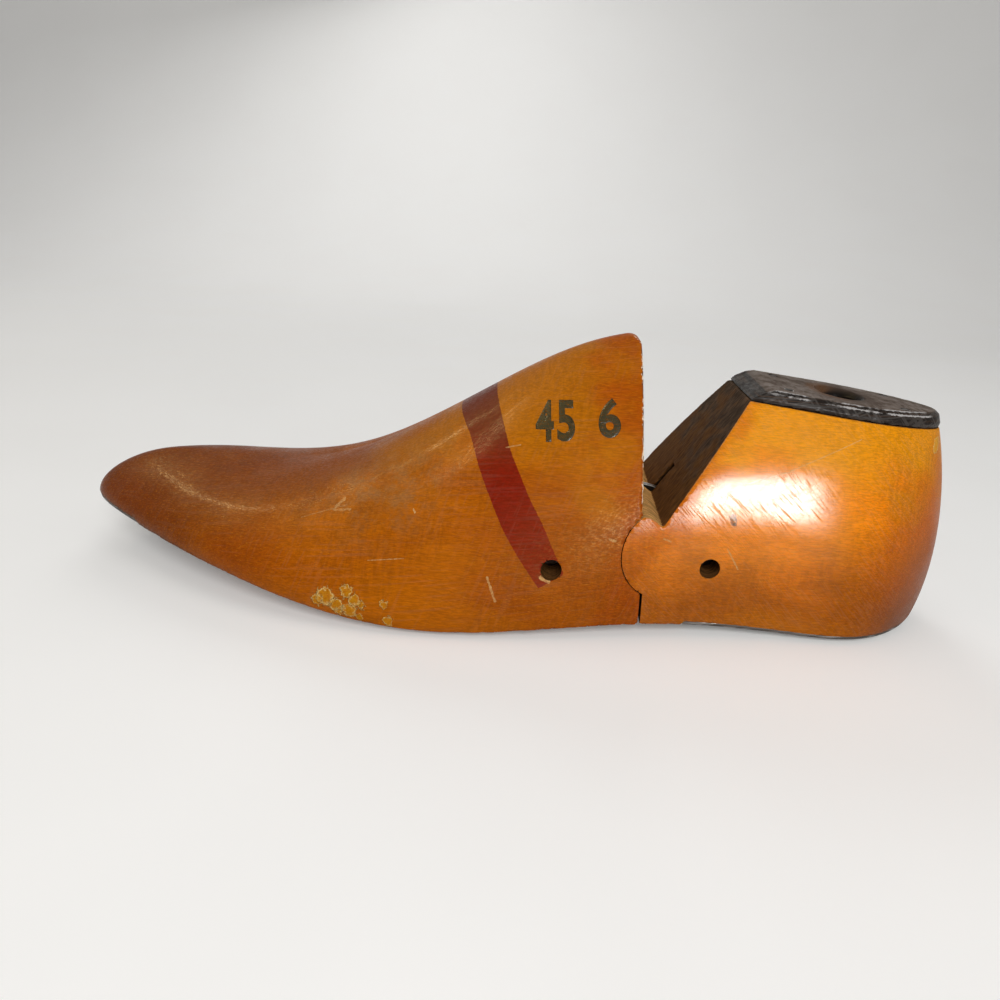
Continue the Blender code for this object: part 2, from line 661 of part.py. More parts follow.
def build_heel(last, wood, steel, fibre):
    pivot = (KNUCKLE_ALONG, 0.0, KNUCKLE_Z)
    heel = make_object("heel_part", *last, wood, pivot=pivot)
    keep = hide_cutter(make_object("heel_saw", *side_prism(heel_outline(), -SIDE_REACH, SIDE_REACH)))
    apply_boolean(heel, keep, "INTERSECT")
    apply_boolean(heel, slot_cutter("heel_slot", SLOT_BACK_ALONG, SLOT_FRONT_ALONG, SLOT_BACK_TOP_Z))
    bore = cross_rod(BACK_PIN, BORE_RADIUS, (-SIDE_REACH, SIDE_REACH), sides=24)
    apply_boolean(heel, hide_cutter(make_object("back_bore", *bore)))
    jack = upright(JACK_ALONG, 0, [(JACK_BORE_RADIUS, JACK_BOTTOM_Z), (JACK_BORE_RADIUS, SAW_HIGH)], sides=28)
    apply_boolean(heel, hide_cutter(make_object("jack_bore", *jack)))
    recess = slab(plate_rows(0, HEEL_PLATE_FRONT, 0.0, RECESS_REACH), -RECESS_REACH, PLATE + PLATE_GAP)
    apply_boolean(heel, hide_cutter(make_object("heel_recess", *recess)))
    plate = slab(plate_rows(0, HEEL_PLATE_FRONT - PLATE_GAP, PLATE_INSET), 0.0, PLATE)
    heel_plate = make_object("heel_plate", *plate, steel, pivot=pivot)
    hole_cutter = build_nails("heel_plate_nail", HEEL_NAILS, bottom_z, steel, pivot)
    apply_boolean(heel_plate, hole_cutter)
    apply_boolean(heel, hole_cutter)
    build_top_piece(heel, fibre, steel, pivot)
    pin = cross_rod(BACK_PIN, PIN_RADIUS, BACK_PIN_ENDS, chamfer=PIN_CHAMFER)
    make_object("back_hinge_pin", *pin, steel, pivot=pivot)


def build_top_piece(heel, fibre, steel, pivot):
    top_piece = make_object("top_piece", *cap_shape(), fibre, pivot=pivot)
    face = cap_top(JACK_ALONG, 0)
    profile = [(CAP_HOLE_RADIUS, face - RECESS_REACH), (CAP_HOLE_RADIUS, face - CAP_HOLE_BEVEL),
               (CAP_HOLE_MOUTH, face), (CAP_HOLE_MOUTH, face + HOLE_REACH)]
    mouth = hide_cutter(make_object("cap_hole", *upright(JACK_ALONG, 0, profile, sides=28)))
    apply_boolean(top_piece, mouth)
    hole_cutter = build_nails("top_piece_nail", CAP_NAILS, cap_top, steel, pivot, up=-1)
    apply_boolean(top_piece, hole_cutter)
    apply_boolean(heel, hole_cutter)
    sleeve = tube(JACK_ALONG, 0, THIMBLE_OUTER_RADIUS, THIMBLE_INNER_RADIUS, THIMBLE_ENDS)
    make_object("thimble", *sleeve, steel, pivot=pivot)


def build_link(spring_steel):
    """Two spring plates side by side on the pins."""
    eyes = link_eye_cutter()
    outline = link_outline()
    for name, side in (("link_plate_outer", -1), ("link_plate_inner", 1)):
        near = side * LINK_GAP / 2
        far = near + side * LINK_PLATE
        shape = side_prism(outline, min(near, far), max(near, far))
        plate = make_object(name, *shape, spring_steel, pivot=(FRONT_PIN[0], 0.0, FRONT_PIN[1]))
        apply_boolean(plate, eyes)


def main():
    clear_scene()
    wood = make_material("varnished_maple", (0.50, 0.19, 0.035), 0.28)
    steel = make_material("dull_steel", (0.30, 0.29, 0.28), 0.45, 1.0)
    spring_steel = make_material("spring_steel", (0.42, 0.42, 0.42), 0.32, 1.0)
    fibre = make_material("worn_fibre", (0.06, 0.045, 0.038), 0.6)
    last = last_shape()
    build_forepart(last, wood, steel)
    build_heel(last, wood, steel, fibre)
    build_link(spring_steel)


main()
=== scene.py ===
"""Looks of a hinged wooden shoe last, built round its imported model.

Station coordinates are in millimetres: "along" runs forward from the back of the heel, y is zero on
the hinge's middle plane and negative on the outer side of the foot, and z is the height.
"""

import logging
import math
from collections.abc import Callable, Iterator, Sequence
from contextlib import contextmanager
from dataclasses import dataclass, replace
from enum import Enum
from functools import partial, reduce

import bmesh
import bpy
import numpy as np
from bmesh.types import BMesh
from bpy.types import ID, Material, Mesh, Modifier, Node, NodeSocket as Socket, NodeTree, Object
from mathutils import Matrix, Vector
from mathutils.bvhtree import BVHTree
from mathutils.kdtree import KDTree


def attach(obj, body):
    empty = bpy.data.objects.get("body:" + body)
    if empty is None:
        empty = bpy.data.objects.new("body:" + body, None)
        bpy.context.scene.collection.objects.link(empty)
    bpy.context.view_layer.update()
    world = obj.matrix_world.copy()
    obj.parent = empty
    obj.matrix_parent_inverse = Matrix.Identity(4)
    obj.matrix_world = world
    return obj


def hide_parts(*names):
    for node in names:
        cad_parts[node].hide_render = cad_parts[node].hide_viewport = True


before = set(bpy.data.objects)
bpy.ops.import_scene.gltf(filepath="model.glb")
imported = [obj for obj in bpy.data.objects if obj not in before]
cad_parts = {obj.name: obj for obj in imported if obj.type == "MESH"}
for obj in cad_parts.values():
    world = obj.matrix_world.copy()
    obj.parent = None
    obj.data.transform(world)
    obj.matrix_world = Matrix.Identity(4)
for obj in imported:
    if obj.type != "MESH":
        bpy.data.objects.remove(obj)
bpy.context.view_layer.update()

LOG = logging.getLogger("shoe_last")
MM = 0.001
MIDDLE_ALONG = 151.3
ORIGIN = (0.0, 0.0, 0.0)

Array = np.ndarray
Stations = tuple[tuple[float, float], ...]
Color = tuple[float, float, float]
Point2 = tuple[float, float]
Point3 = tuple[float, float, float]
Shape = tuple[Array, list[tuple[int, ...]]]
Feed = Socket | float | tuple | str | None


class Half(Enum):
    """The two wooden halves, by the name of the node that each one replaces."""

    FOREPART = "forepart"
    HEEL = "heel_part"


class Cut(Enum):
    """What a cutter does to the wood."""

    KEEP_INSIDE = "INTERSECT"
    REMOVE = "DIFFERENCE"


# Curves through stations


class OpenCurve:
    """Natural cubic spline through (along, value) stations."""

    def __init__(self, stations: Stations) -> None:
        """Solve the bends at the stations.

        Args:
            stations: (along, value) pairs in rising order.
        """
        self.x, self.y = np.array(stations, float).T
        self.h = np.diff(self.x)
        count = len(self.x)
        system, right = np.eye(count), np.zeros(count)
        for i in range(1, count - 1):
            system[i, i - 1:i + 2] = self.h[i - 1], 2 * (self.h[i - 1] + self.h[i]), self.h[i]
            ahead, behind = self.y[i + 1] - self.y[i], self.y[i] - self.y[i - 1]
            right[i] = 6 * (ahead / self.h[i] - behind / self.h[i - 1])
        self.bend = np.linalg.solve(system, right)

    def __call__(self, at: Array | float) -> Array:
        """Value of the curve.

        Args:
            at: One or more stations.

        Returns:
            One value for each station.
        """
        k = np.clip(np.searchsorted(self.x, at) - 1, 0, len(self.x) - 2)
        return spline_piece(at - self.x[k], self.h[k], self.y[k], self.y[k + 1], self.bend[k],
                            self.bend[k + 1])


class LoopCurve:
    """Closed cubic spline over an angle that is 0 at the heel and pi at the toe."""

    def __init__(self, outer: Stations, inner: Stations, back: float, tip: float, length: float) -> None:
        """Solve the bends round the loop.

        Args:
            outer: Stations on the outer side, without the two ends.
            inner: Stations on the inner side, without the two ends.
            back: Value at the back of the heel.
            tip: Value at the tip of the toe.
            length: Length of the last.
        """
        near = [(math.acos(1 - 2 * a / length), value) for a, value in outer]
        far = [(2 * math.pi - math.acos(1 - 2 * a / length), value) for a, value in reversed(inner)]
        self.x, self.y = np.array([(0.0, back), *near, (math.pi, tip), *far], float).T
        self.h = np.diff(np.append(self.x, 2 * math.pi))
        count = len(self.x)
        system, right = np.zeros((count, count)), np.zeros(count)
        for i in range(count):
            following = (i + 1) % count
            system[i, i - 1] += self.h[i - 1]
            system[i, i] += 2 * (self.h[i - 1] + self.h[i])
            system[i, following] += self.h[i]
            ahead, behind = self.y[following] - self.y[i], self.y[i] - self.y[i - 1]
            right[i] = 6 * (ahead / self.h[i] - behind / self.h[i - 1])
        self.bend = np.linalg.solve(system, right)

    def __call__(self, angle: Array) -> Array:
        """Value of the curve.

        Args:
            angle: Angles round the loop, in radians.

        Returns:
            One value for each angle.
        """
        angle = np.asarray(angle, float) % (2 * math.pi)
        k = np.clip(np.searchsorted(self.x, angle, side="right") - 1, 0, len(self.x) - 1)
        n = (k + 1) % len(self.x)
        return spline_piece(angle - self.x[k], self.h[k], self.y[k], self.y[n], self.bend[k], self.bend[n])


def spline_piece(t: Array, h: Array, y0: Array, y1: Array, bend0: Array,
                 bend1: Array) -> Array:
    """Cubic between two stations.

    Args:
        t: Distance from the first station.
        h: Distance between the two stations.
        y0: Value at the first station.
        y1: Value at the second station.
        bend0: Bend at the first station.
        bend1: Bend at the second station.

    Returns:
        The value at t.
    """
    cubic = (bend0 * (h - t) ** 3 + bend1 * t ** 3) / (6 * h)
    return cubic + (y0 / h - bend0 * h / 6) * (h - t) + (y1 / h - bend1 * h / 6) * t


def to_world(points: Array) -> Array:
    """Station points in millimetres as model points in metres."""
    return np.stack([MIDDLE_ALONG - points[..., 0], points[..., 1], points[..., 2]], axis=-1) * MM


def smooth_step(value: Array, low: float, high: float) -> Array:
    """0 below low, 1 above high, with a soft passage between them."""
    t = np.clip((value - low) / (high - low), 0, 1)
    return t * t * (3 - 2 * t)


HASH_AXES = (73856093, 19349663, 83492791)
HASH_SEED = 2654435
HASH_SPREAD = 1274126177
HASH_SIZE = 65521


def lattice_noise(points: Array, size: float, seed: int) -> Array:
    """Smooth noise from 0 to 1 on a cubic lattice.

    Args:
        points: Points in millimetres.
        size: Spacing of the lattice in millimetres.
        seed: Choice of the pattern.

    Returns:
        One value for each point.
    """
    scaled = points / size
    cell = np.floor(scaled).astype(np.int64)
    t = scaled - cell
    t = t * t * (3 - 2 * t)
    total = np.zeros(len(points))
    for corner in np.ndindex(2, 2, 2):
        key = (cell + np.array(corner)) @ np.array(HASH_AXES) + seed * HASH_SEED
        value = ((key ^ (key >> 13)) * HASH_SPREAD % HASH_SIZE) / HASH_SIZE
        total += value * np.prod(np.where(np.array(corner) == 1, t, 1 - t), axis=1)
    return total


# The whole last, before it is sawn


@dataclass(frozen=True)
class LastForm:
    """Feather line, ridge and walls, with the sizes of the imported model."""

    length: float = 304.5
    back_y: float = 0.0
    tip_y: float = 8.0
    outer_y: Stations = ((10, -19.2), (30, -30), (60, -32), (90, -35.5), (125, -43), (160, -49), (190, -49.5),
                         (220, -44.5), (250, -33.5), (280, -16.5))
    inner_y: Stations = ((10, 19.2), (30, 30), (60, 31), (90, 29.5), (125, 28.5), (160, 35), (190, 44),
                         (220, 49.9), (250, 46.5), (280, 35))
    back_z: float = 3.6
    tip_z: float = 18.2
    outer_z: Stations = ((15, 1.7), (40, 1.7), (70, 3.4), (100, 4.6), (135, 3.2), (170, 2.0), (205, 5.3),
                         (240, 11.1), (275, 15.2))
    inner_z: Stations = ((15, 1.7), (40, 1.7), (70, 4.6), (100, 9.6), (135, 8.6), (170, 4.1), (205, 3.6),
                         (240, 8.6), (275, 14.6))
    ridge_back: float = 20.0
    ridge_front: float = 272.0
    ridge_y: Stations = ((20, 0), (70, 0), (120, 1), (170, 5), (220, 11), (272, 11))
    ridge_z: Stations = ((20, 93.6), (60, 95.6), (95, 94.6), (122, 89.1), (155, 71.1), (190, 49.2),
                         (222, 37.0), (248, 36.2), (272, 35.8))
    swell_out_outer: Stations = ((0, 8.5), (30, 8), (70, 7), (110, 5), (160, 4), (210, 4), (260, 2),
                                 (304.5, 1.5))
    swell_out_inner: Stations = ((0, 8.5), (30, 8.5), (70, 9.5), (110, 9), (160, 5), (210, 4), (260, 2),
                                 (304.5, 1.5))
    swell_up_outer: Stations = ((0, 42), (30, 40), (70, 42), (110, 40), (160, 26), (210, 18), (260, 13),
                                (304.5, 9))
    swell_up_inner: Stations = ((0, 42), (30, 40), (70, 42), (110, 42), (160, 34), (210, 26), (260, 17),
                                (304.5, 9))
    round_top_outer: Stations = ((0, 6), (30, 11), (70, 10), (110, 12), (160, 20), (210, 26), (260, 19),
                                 (304.5, 12))
    round_top_inner: Stations = ((0, 6), (30, 10), (70, 6.5), (110, 9), (160, 9), (210, 9), (260, 16),
                                 (304.5, 12))
    crown: Stations = ((0, 1.5), (30, 2.6), (70, 1.8), (105, 0.6), (140, 2.0), (180, 3.8), (230, 3.2),
                       (275, 2.0), (304.5, 1.0))
    crown_power: float = 2.2
    crown_fade: float = 2.2
    slim: tuple[float, float] = (0.9993, 0.9938)
    around: int = 480
    up: int = 72
    row_power: float = 0.9
    across: int = 48

    def loop(self, outer: Stations, inner: Stations) -> LoopCurve:
        """Loop whose two lists both start at the heel and end at the toe."""
        return LoopCurve(outer[1:-1], inner[1:-1], outer[0][1], outer[-1][1], self.length)

    def feather(self, angles: Array) -> Array:
        """Points of the feather line.

        Args:
            angles: Angles round it, 0 at the heel and pi at the toe.

        Returns:
            Array of (angle, 3) station points.
        """
        along = self.length * (1 - np.cos(angles)) / 2
        side = LoopCurve(self.outer_y, self.inner_y, self.back_y, self.tip_y, self.length)
        height = LoopCurve(self.outer_z, self.inner_z, self.back_z, self.tip_z, self.length)
        return np.stack([along, side(angles), height(angles)], axis=1)

    def wall(self, angles: Array, steps: Array) -> Array:
        """Rows of wall points, one row for each angle.

        Args:
            angles: Angles round the feather line.
            steps: Shares of the way up, 0 at the feather line and 1 at the ridge.

        Returns:
            Array of (angle, step, 3) station points.
        """
        foot = self.feather(angles)
        ridge_along = self.ridge_back + (self.ridge_front - self.ridge_back) * foot[:, 0] / self.length
        ridge = [OpenCurve(stations)(ridge_along) for stations in (self.ridge_y, self.ridge_z)]
        top = np.stack([ridge_along, *ridge], axis=1)
        outward = (foot - top) * np.array([1, 1, 0])
        outward /= np.linalg.norm(outward, axis=1)[:, None]
        swell_out = self.loop(self.swell_out_outer, self.swell_out_inner)(angles)[:, None]
        swell_up = self.loop(self.swell_up_outer, self.swell_up_inner)(angles)[:, None]
        round_top = self.loop(self.round_top_outer, self.round_top_inner)(angles)[:, None]
        lower = foot + outward * swell_out + np.array([0, 0, 1]) * swell_up
        upper = top + outward * round_top
        v = steps[None, :, None]
        return self.slimmed((1 - v) ** 3 * foot[:, None] + 3 * v * (1 - v) ** 2 * lower[:, None]
                            + 3 * v ** 2 * (1 - v) * upper[:, None] + v ** 3 * top[:, None])

    def bottom(self, angles: Array, across: Array) -> Array:
        """Rows of points over the crowned bottom, flat where it would reach below the ground.

        Args:
            angles: Angles on the outer half of the feather line.
            across: Places from -1 at the outer side to 1 at the inner side.

        Returns:
            Array of (angle, place, 3) station points.
        """
        near, far = self.feather(angles), self.feather(2 * math.pi - angles)
        t = across[None, :, None]
        grid = (near[:, None] * (1 - t) + far[:, None] * (1 + t)) / 2
        drop = OpenCurve(self.crown)(near[:, 0]) * np.minimum(1.0, np.sin(angles) * self.crown_fade)
        grid[..., 2] -= drop[:, None] * (1 - np.abs(across[None]) ** self.crown_power)
        grid[..., 2] = np.maximum(grid[..., 2], 0.0)
        return self.slimmed(grid)

    def slimmed(self, points: Array) -> Array:
        """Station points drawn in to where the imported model's flat faces run, inside its box."""
        along = MIDDLE_ALONG + (points[..., 0] - MIDDLE_ALONG) * self.slim[0]
        return np.stack([along, points[..., 1] * self.slim[1], points[..., 2]], axis=-1)

    def body(self) -> Shape:
        """Closed form of the uncut last.

        Returns:
            Its model points and faces.
        """
        half = self.around // 2
        angles = 2 * math.pi * np.arange(self.around) / self.around
        wall = self.wall(angles, (np.arange(self.up + 1) / self.up) ** self.row_power)
        index = np.arange(self.around * (self.up + 1)).reshape(self.around, self.up + 1)
        index[half + 1:, self.up] = index[1:half, self.up][::-1]
        ring = np.vstack([index, index[:1]])
        faces = [
            tuple(dict.fromkeys((ring[i, j], ring[i + 1, j], ring[i + 1, j + 1], ring[i, j + 1])))
            for i in range(self.around) for j in range(self.up)]
        bottom = self.bottom(angles[:half + 1], np.linspace(-1, 1, self.across + 1))
        start = wall.shape[0] * wall.shape[1]
        inside = start + np.arange((half - 1) * (self.across - 1)).reshape(half - 1, self.across - 1)
        floor = np.zeros((half + 1, self.across + 1), int)
        floor[0], floor[half] = index[0, 0], index[half, 0]
        floor[1:half, 0], floor[1:half, -1] = index[1:half, 0], index[half + 1:, 0][::-1]
        floor[1:half, 1:-1] = inside
        for i in range(half):
            for j in range(self.across):
                corners = (floor[i, j], floor[i, j + 1], floor[i + 1, j + 1], floor[i + 1, j])
                faces.append(tuple(dict.fromkeys(corners)))
        points = np.vstack([wall.reshape(-1, 3), bottom[1:half, 1:-1].reshape(-1, 3)])
        return to_world(points), [face for face in faces if len(face) > 2]


@dataclass(frozen=True)
class RuleJoint:
    """Saw lines between the halves, bores and recesses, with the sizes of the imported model."""

    knuckle: Point2 = (95.0, 29.1)
    socket_radius: float = 15.0
    knuckle_radius: float = 14.7
    lip_angle: float = math.radians(51.7)
    seam_top: Point2 = (102.55, 17.0)
    seam_lean: float = math.radians(3.4)
    seam_gap: float = 0.8
    cone_lean: float = math.radians(3.9)
    cone_gap: float = 0.3
    v_bottom: Point2 = (97.7, 37.7)
    v_lean: float = math.radians(32.3)
    land_shoulder: Point2 = (100.9, 40.9)
    slot_width: float = 3.5
    slot_bottom: float = 14.1
    slot_front: Point2 = (139.5, 51.6)
    slot_back: Point2 = (72.0, 48.3)
    front_pin: Point2 = (131.5, 23.9)
    back_pin: Point2 = (81.0, 25.0)
    bore_radius: float = 3.3
    cap_front_z: float = 76.2
    cap_slope: float = math.tan(math.radians(5.9))
    jack_along: float = 39.8
    jack_radius: float = 7.0
    jack_bottom: float = 26.0
    heel_plate_front: float = 86.9
    toe_plate_back: float = 278.5
    recess: float = 1.3
    reach: float = 80.0
    low: float = -20.0
    high: float = 120.0
    behind: float = -30.0
    ahead: float = 330.0
    arc_steps: int = 96
    land_steps: int = 12
    corner: Point2 = (4.6, 3.0)
    corner_steps: int = 14
    cone_high: float = 90.0
    rounds: int = 60

    def cone_along(self, z: float) -> float:
        """Back face of the forepart's cone.

        Args:
            z: Height.

        Returns:
            The face's station at that height.
        """
        lip = (self.knuckle[0] + self.socket_radius * math.cos(self.lip_angle),
               self.knuckle[1] + self.socket_radius * math.sin(self.lip_angle))
        return lip[0] + (z - lip[1]) * math.tan(self.cone_lean)

    def seam_along(self, z: float) -> float:
        """Front face of the lower seam."""
        return self.seam_top[0] + (z - self.seam_top[1]) * math.tan(self.seam_lean)

    def v_along(self, z: float) -> float:
        """V face of the heel part."""
        return self.v_bottom[0] - (z - self.v_bottom[1]) * math.tan(self.v_lean)

    def cap_z(self, along: Array | float) -> Array | float:
        """Top of the heel part's wood."""
        return self.cap_front_z + (along - self.v_along(self.cap_front_z)) * self.cap_slope

    def cone_plane(self) -> tuple[float, float, float]:
        """X and Z factors and offset that give the distance in front of the cone's back face."""
        lean = math.tan(self.cone_lean)
        return -1.0, -lean, MIDDLE_ALONG - self.cone_along(0.0)

    def v_plane(self) -> tuple[float, float, float]:
        """X and Z factors and offset that give the distance behind the V face."""
        share = math.cos(self.v_lean)
        return share, -math.sin(self.v_lean), (self.v_along(0.0) - MIDDLE_ALONG) * share

    def crossing(self, line: Callable[[float], float], radius: float, side: int) -> Point2:
        """Where a saw line meets a circle about the knuckle's centre.

        Args:
            line: Gives the line's station at a height.
            radius: Radius of the circle.
            side: -1 for the crossing below the centre, 1 for the one above it.

        Returns:
            (along, z) of the crossing.
        """
        z = self.knuckle[1] + side * radius
        for _ in range(self.rounds):
            across = line(z) - self.knuckle[0]
            z = self.knuckle[1] + side * math.sqrt(max(radius ** 2 - across ** 2, 0.0))
        return line(z), z

    def arc(self, radius: float, low: Point2, high: Point2) -> list[Point2]:
        """Arc about the knuckle's centre.

        Args:
            radius: Radius of the arc.
            low: Its first point.
            high: Its last point.

        Returns:
            Points along the arc.
        """
        ends = [math.atan2(p[1] - self.knuckle[1], p[0] - self.knuckle[0]) for p in (low, high)]
        return [(self.knuckle[0] + radius * math.cos(t), self.knuckle[1] + radius * math.sin(t))
                for t in np.linspace(*ends, self.arc_steps)]

    def cone_corner(self) -> list[Point2]:
        """Worn corner between the cone's back face and the ridge.

        Returns:
            Points from the back face to the ridge.
        """
        reach, drop = self.corner
        top = float(OpenCurve(FORM.ridge_z)(self.cone_along(self.cone_high) + reach))
        return [(self.cone_along(top) + reach * (1 - math.cos(t)), top - drop * (1 - math.sin(t)))
                for t in np.linspace(0, math.pi / 2, self.corner_steps)]

    def outline(self, half: Half) -> list[Point2]:
        """Side outline that one half is sawn to.

        Args:
            half: Which half.

        Returns:
            The outline's corners.
        """
        if half is Half.FOREPART:
            low = self.crossing(self.seam_along, self.socket_radius, -1)
            high = self.crossing(self.cone_along, self.socket_radius, 1)
            corner = self.cone_corner()
            return [(self.seam_along(self.low), self.low), *self.arc(self.socket_radius, low, high),
                    *corner, (corner[-1][0], self.high), (self.ahead, self.high), (self.ahead, self.low)]
        low = self.crossing(lambda z: self.seam_along(z) - self.seam_gap, self.knuckle_radius, -1)
        high = self.crossing(lambda z: self.cone_along(z) - self.cone_gap, self.knuckle_radius, 1)
        land = [tuple((1 - s) ** 2 * a + 2 * s * (1 - s) * b + s ** 2 * c
                      for a, b, c in zip(high, self.land_shoulder, self.v_bottom))
                for s in np.arange(1, self.land_steps) / self.land_steps]
        return [(self.seam_along(self.low) - self.seam_gap, self.low),
                *self.arc(self.knuckle_radius, low, high), *land, self.v_bottom,
                (self.v_along(self.cap_front_z), self.cap_front_z),
                (self.behind, self.cap_z(self.behind)), (self.behind, self.low)]


FORM = LastForm()
JOINT = RuleJoint()
VOXELS = {Half.FOREPART: 0.84 * MM, Half.HEEL: 0.74 * MM}


# Cutters and meshes


def stack(rings: Sequence[Sequence[Point3]]) -> Shape:
    """Closed solid from a stack of equal rings of station points.

    Args:
        rings: Rings from one end of the solid to the other.

    Returns:
        The solid's points and faces.
    """
    count = len(rings[0])
    points = np.array([p for ring in rings for p in ring], float)
    faces = [(k * count + i, k * count + (i + 1) % count, (k + 1) * count + (i + 1) % count,
              (k + 1) * count + i) for k in range(len(rings) - 1) for i in range(count)]
    faces.append(tuple(range(count))[::-1])
    faces.append(tuple(range(len(points) - count, len(points))))
    return to_world(points), faces


def circle(center: Point2, radius: float, sides: int = 48) -> list[Point2]:
    """Points round a circle."""
    return [(center[0] + radius * math.cos(t), center[1] + radius * math.sin(t))
            for t in 2 * math.pi * np.arange(sides) / sides]


def prism(outline: Sequence[Point2], low: float, high: float) -> Shape:
    """Side outline of (along, z) points, drawn out across the last."""
    return stack([[(a, y, z) for a, z in outline] for y in (low, high)])


def upright(center: Point2, profile: Sequence[Point2], sides: int = 64) -> Shape:
    """Solid turned about a vertical axis, from (radius, z) pairs."""
    return stack([[(a, y, z) for a, y in circle(center, radius, sides)] for radius, z in profile])


@contextmanager
def editing(mesh: Mesh) -> Iterator[BMesh]:
    """Open a mesh for editing, and write it back at the end.

    Args:
        mesh: Mesh to edit.

    Yields:
        The open mesh.
    """
    work = bmesh.new()
    work.from_mesh(mesh)
    yield work
    work.to_mesh(mesh)
    work.free()


def to_mesh(name: str, shape: Shape) -> Mesh:
    """Mesh of a closed shape, with its faces pointing out.

    Args:
        name: Name of the mesh.
        shape: Points and faces.

    Returns:
        The mesh.
    """
    mesh = bpy.data.meshes.new(name)
    mesh.from_pydata(shape[0].tolist(), [], [tuple(int(i) for i in face) for face in shape[1]])
    with editing(mesh) as work:
        loose = [vert for vert in work.verts if not vert.link_faces]
        bmesh.ops.delete(work, geom=loose, context="VERTS")
        bmesh.ops.recalc_face_normals(work, faces=work.faces)
        if work.calc_volume(signed=True) < 0:
            bmesh.ops.reverse_faces(work, faces=work.faces)
    return mesh


def add_object(name: str, data: ID) -> Object:
    """Put a mesh, curve, light or camera into the scene.

    Args:
        name: Name of the object.
        data: What it shows.

    Returns:
        The object, at the origin.
    """
    thing = bpy.data.objects.new(name, data)
    bpy.context.scene.collection.objects.link(thing)
    return thing


def plain_mesh(name: str, thing: Object, *helpers: Object) -> Mesh:
    """Apply an object's modifiers, and remove it.

    Args:
        name: Name of the mesh.
        thing: Object to evaluate.
        *helpers: Objects that its modifiers use, to be removed with it.

    Returns:
        The mesh.
    """
    graph = bpy.context.evaluated_depsgraph_get()
    mesh = bpy.data.meshes.new_from_object(thing.evaluated_get(graph))
    mesh.name = name
    for extra in (*helpers, thing):
        bpy.data.objects.remove(extra, do_unlink=True)
    return mesh


def add_modifier(thing: Object, kind: str, **settings: object) -> Modifier:
    """Add a modifier.

    Args:
        thing: Object that gets it.
        kind: Type of the modifier.
        **settings: Its properties.

    Returns:
        The modifier.
    """
    modifier = thing.modifiers.new(kind.lower(), kind)
    for key, value in settings.items():
        setattr(modifier, key, value)
    return modifier


def carve(name: str, mesh: Mesh, cuts: Sequence[tuple[Shape, Cut]]) -> Mesh:
    """A mesh with each cutter applied in turn.

    Args:
        name: Name of the result.
        mesh: Closed mesh to cut.
        cuts: Closed cutters, with what each one does.

    Returns:
        The cut mesh.
    """
    thing = add_object(name + "_blank", mesh)
    cutters = []
    for shape, cut in cuts:
        cutters.append(add_object(name + "_cutter", to_mesh(name + "_cutter", shape)))
        add_modifier(thing, "BOOLEAN", operation=cut.value, solver="MANIFOLD", object=cutters[-1])
    return plain_mesh(name + "_cut", thing, *cutters)


def coordinates(mesh: Mesh) -> Array:
    """Read a mesh's vertex places.

    Args:
        mesh: Mesh to read.

    Returns:
        Array of (vertex, 3) places in metres.
    """
    flat = np.zeros(len(mesh.vertices) * 3, np.float32)
    mesh.vertices.foreach_get("co", flat)
    return flat.reshape(-1, 3).astype(float)


def surface_of(mesh: Mesh) -> BVHTree:
    """Search tree of a mesh's faces."""
    return BVHTree.FromPolygons([v.co for v in mesh.vertices], [tuple(p.vertices) for p in mesh.polygons])


def sharp_edge_tree(mesh: Mesh, angle: float, step: float = 0.1 * MM) -> KDTree:
    """Search tree of points along a mesh's sharp edges.

    Args:
        mesh: Mesh with crisp edges.
        angle: Least angle between two faces that counts as sharp.
        step: Distance between the points.

    Returns:
        The search tree.
    """
    work = bmesh.new()
    work.from_mesh(mesh)
    samples = []
    for edge in work.edges:
        if len(edge.link_faces) == 2 and edge.calc_face_angle() > angle:
            first, second = (vert.co.copy() for vert in edge.verts)
            pieces = max(1, math.ceil((second - first).length / step))
            samples += [first.lerp(second, i / pieces) for i in range(pieces + 1)]
    work.free()
    tree = KDTree(len(samples))
    for i, place in enumerate(samples):
        tree.insert(place, i)
    tree.balance()
    return tree


def smooth_patches(mesh: Mesh, angle: float) -> Array:
    """Number the smooth patches of a mesh, which its sharp edges bound.

    Args:
        mesh: Mesh with crisp edges.
        angle: Greatest angle between two faces of one patch.

    Returns:
        The patch of each face.
    """
    work = bmesh.new()
    work.from_mesh(mesh)
    work.faces.ensure_lookup_table()
    patch = np.full(len(work.faces), -1)
    count = 0
    for seed in work.faces:
        if patch[seed.index] >= 0:
            continue
        patch[seed.index] = count
        waiting = [seed]
        while waiting:
            face = waiting.pop()
            for edge in face.edges:
                if len(edge.link_faces) == 2 and edge.calc_face_angle() <= angle:
                    for other in edge.link_faces:
                        if patch[other.index] < 0:
                            patch[other.index] = count
                            waiting.append(other)
        count += 1
    work.free()
    return patch


def mesh_links(mesh: Mesh) -> Array:
    """Read which vertices a mesh's edges join.

    Args:
        mesh: Mesh to read.

    Returns:
        Array of (edge, 2) vertex numbers.
    """
    links = np.zeros(len(mesh.edges) * 2, np.int32)
    mesh.edges.foreach_get("vertices", links)
    return links.reshape(-1, 2)


def neighbour_means(points: Array, links: Array) -> Array:
    """Mean place of each vertex's neighbours.

    Args:
        points: Vertex places.
        links: Vertex pairs of the edges.

    Returns:
        One place for each vertex.
    """
    total, count = np.zeros_like(points), np.zeros(len(points))
    for a, b in ((0, 1), (1, 0)):
        np.add.at(total, links[:, a], points[links[:, b]])
        np.add.at(count, links[:, a], 1)
    return total / np.maximum(count, 1)[:, None]


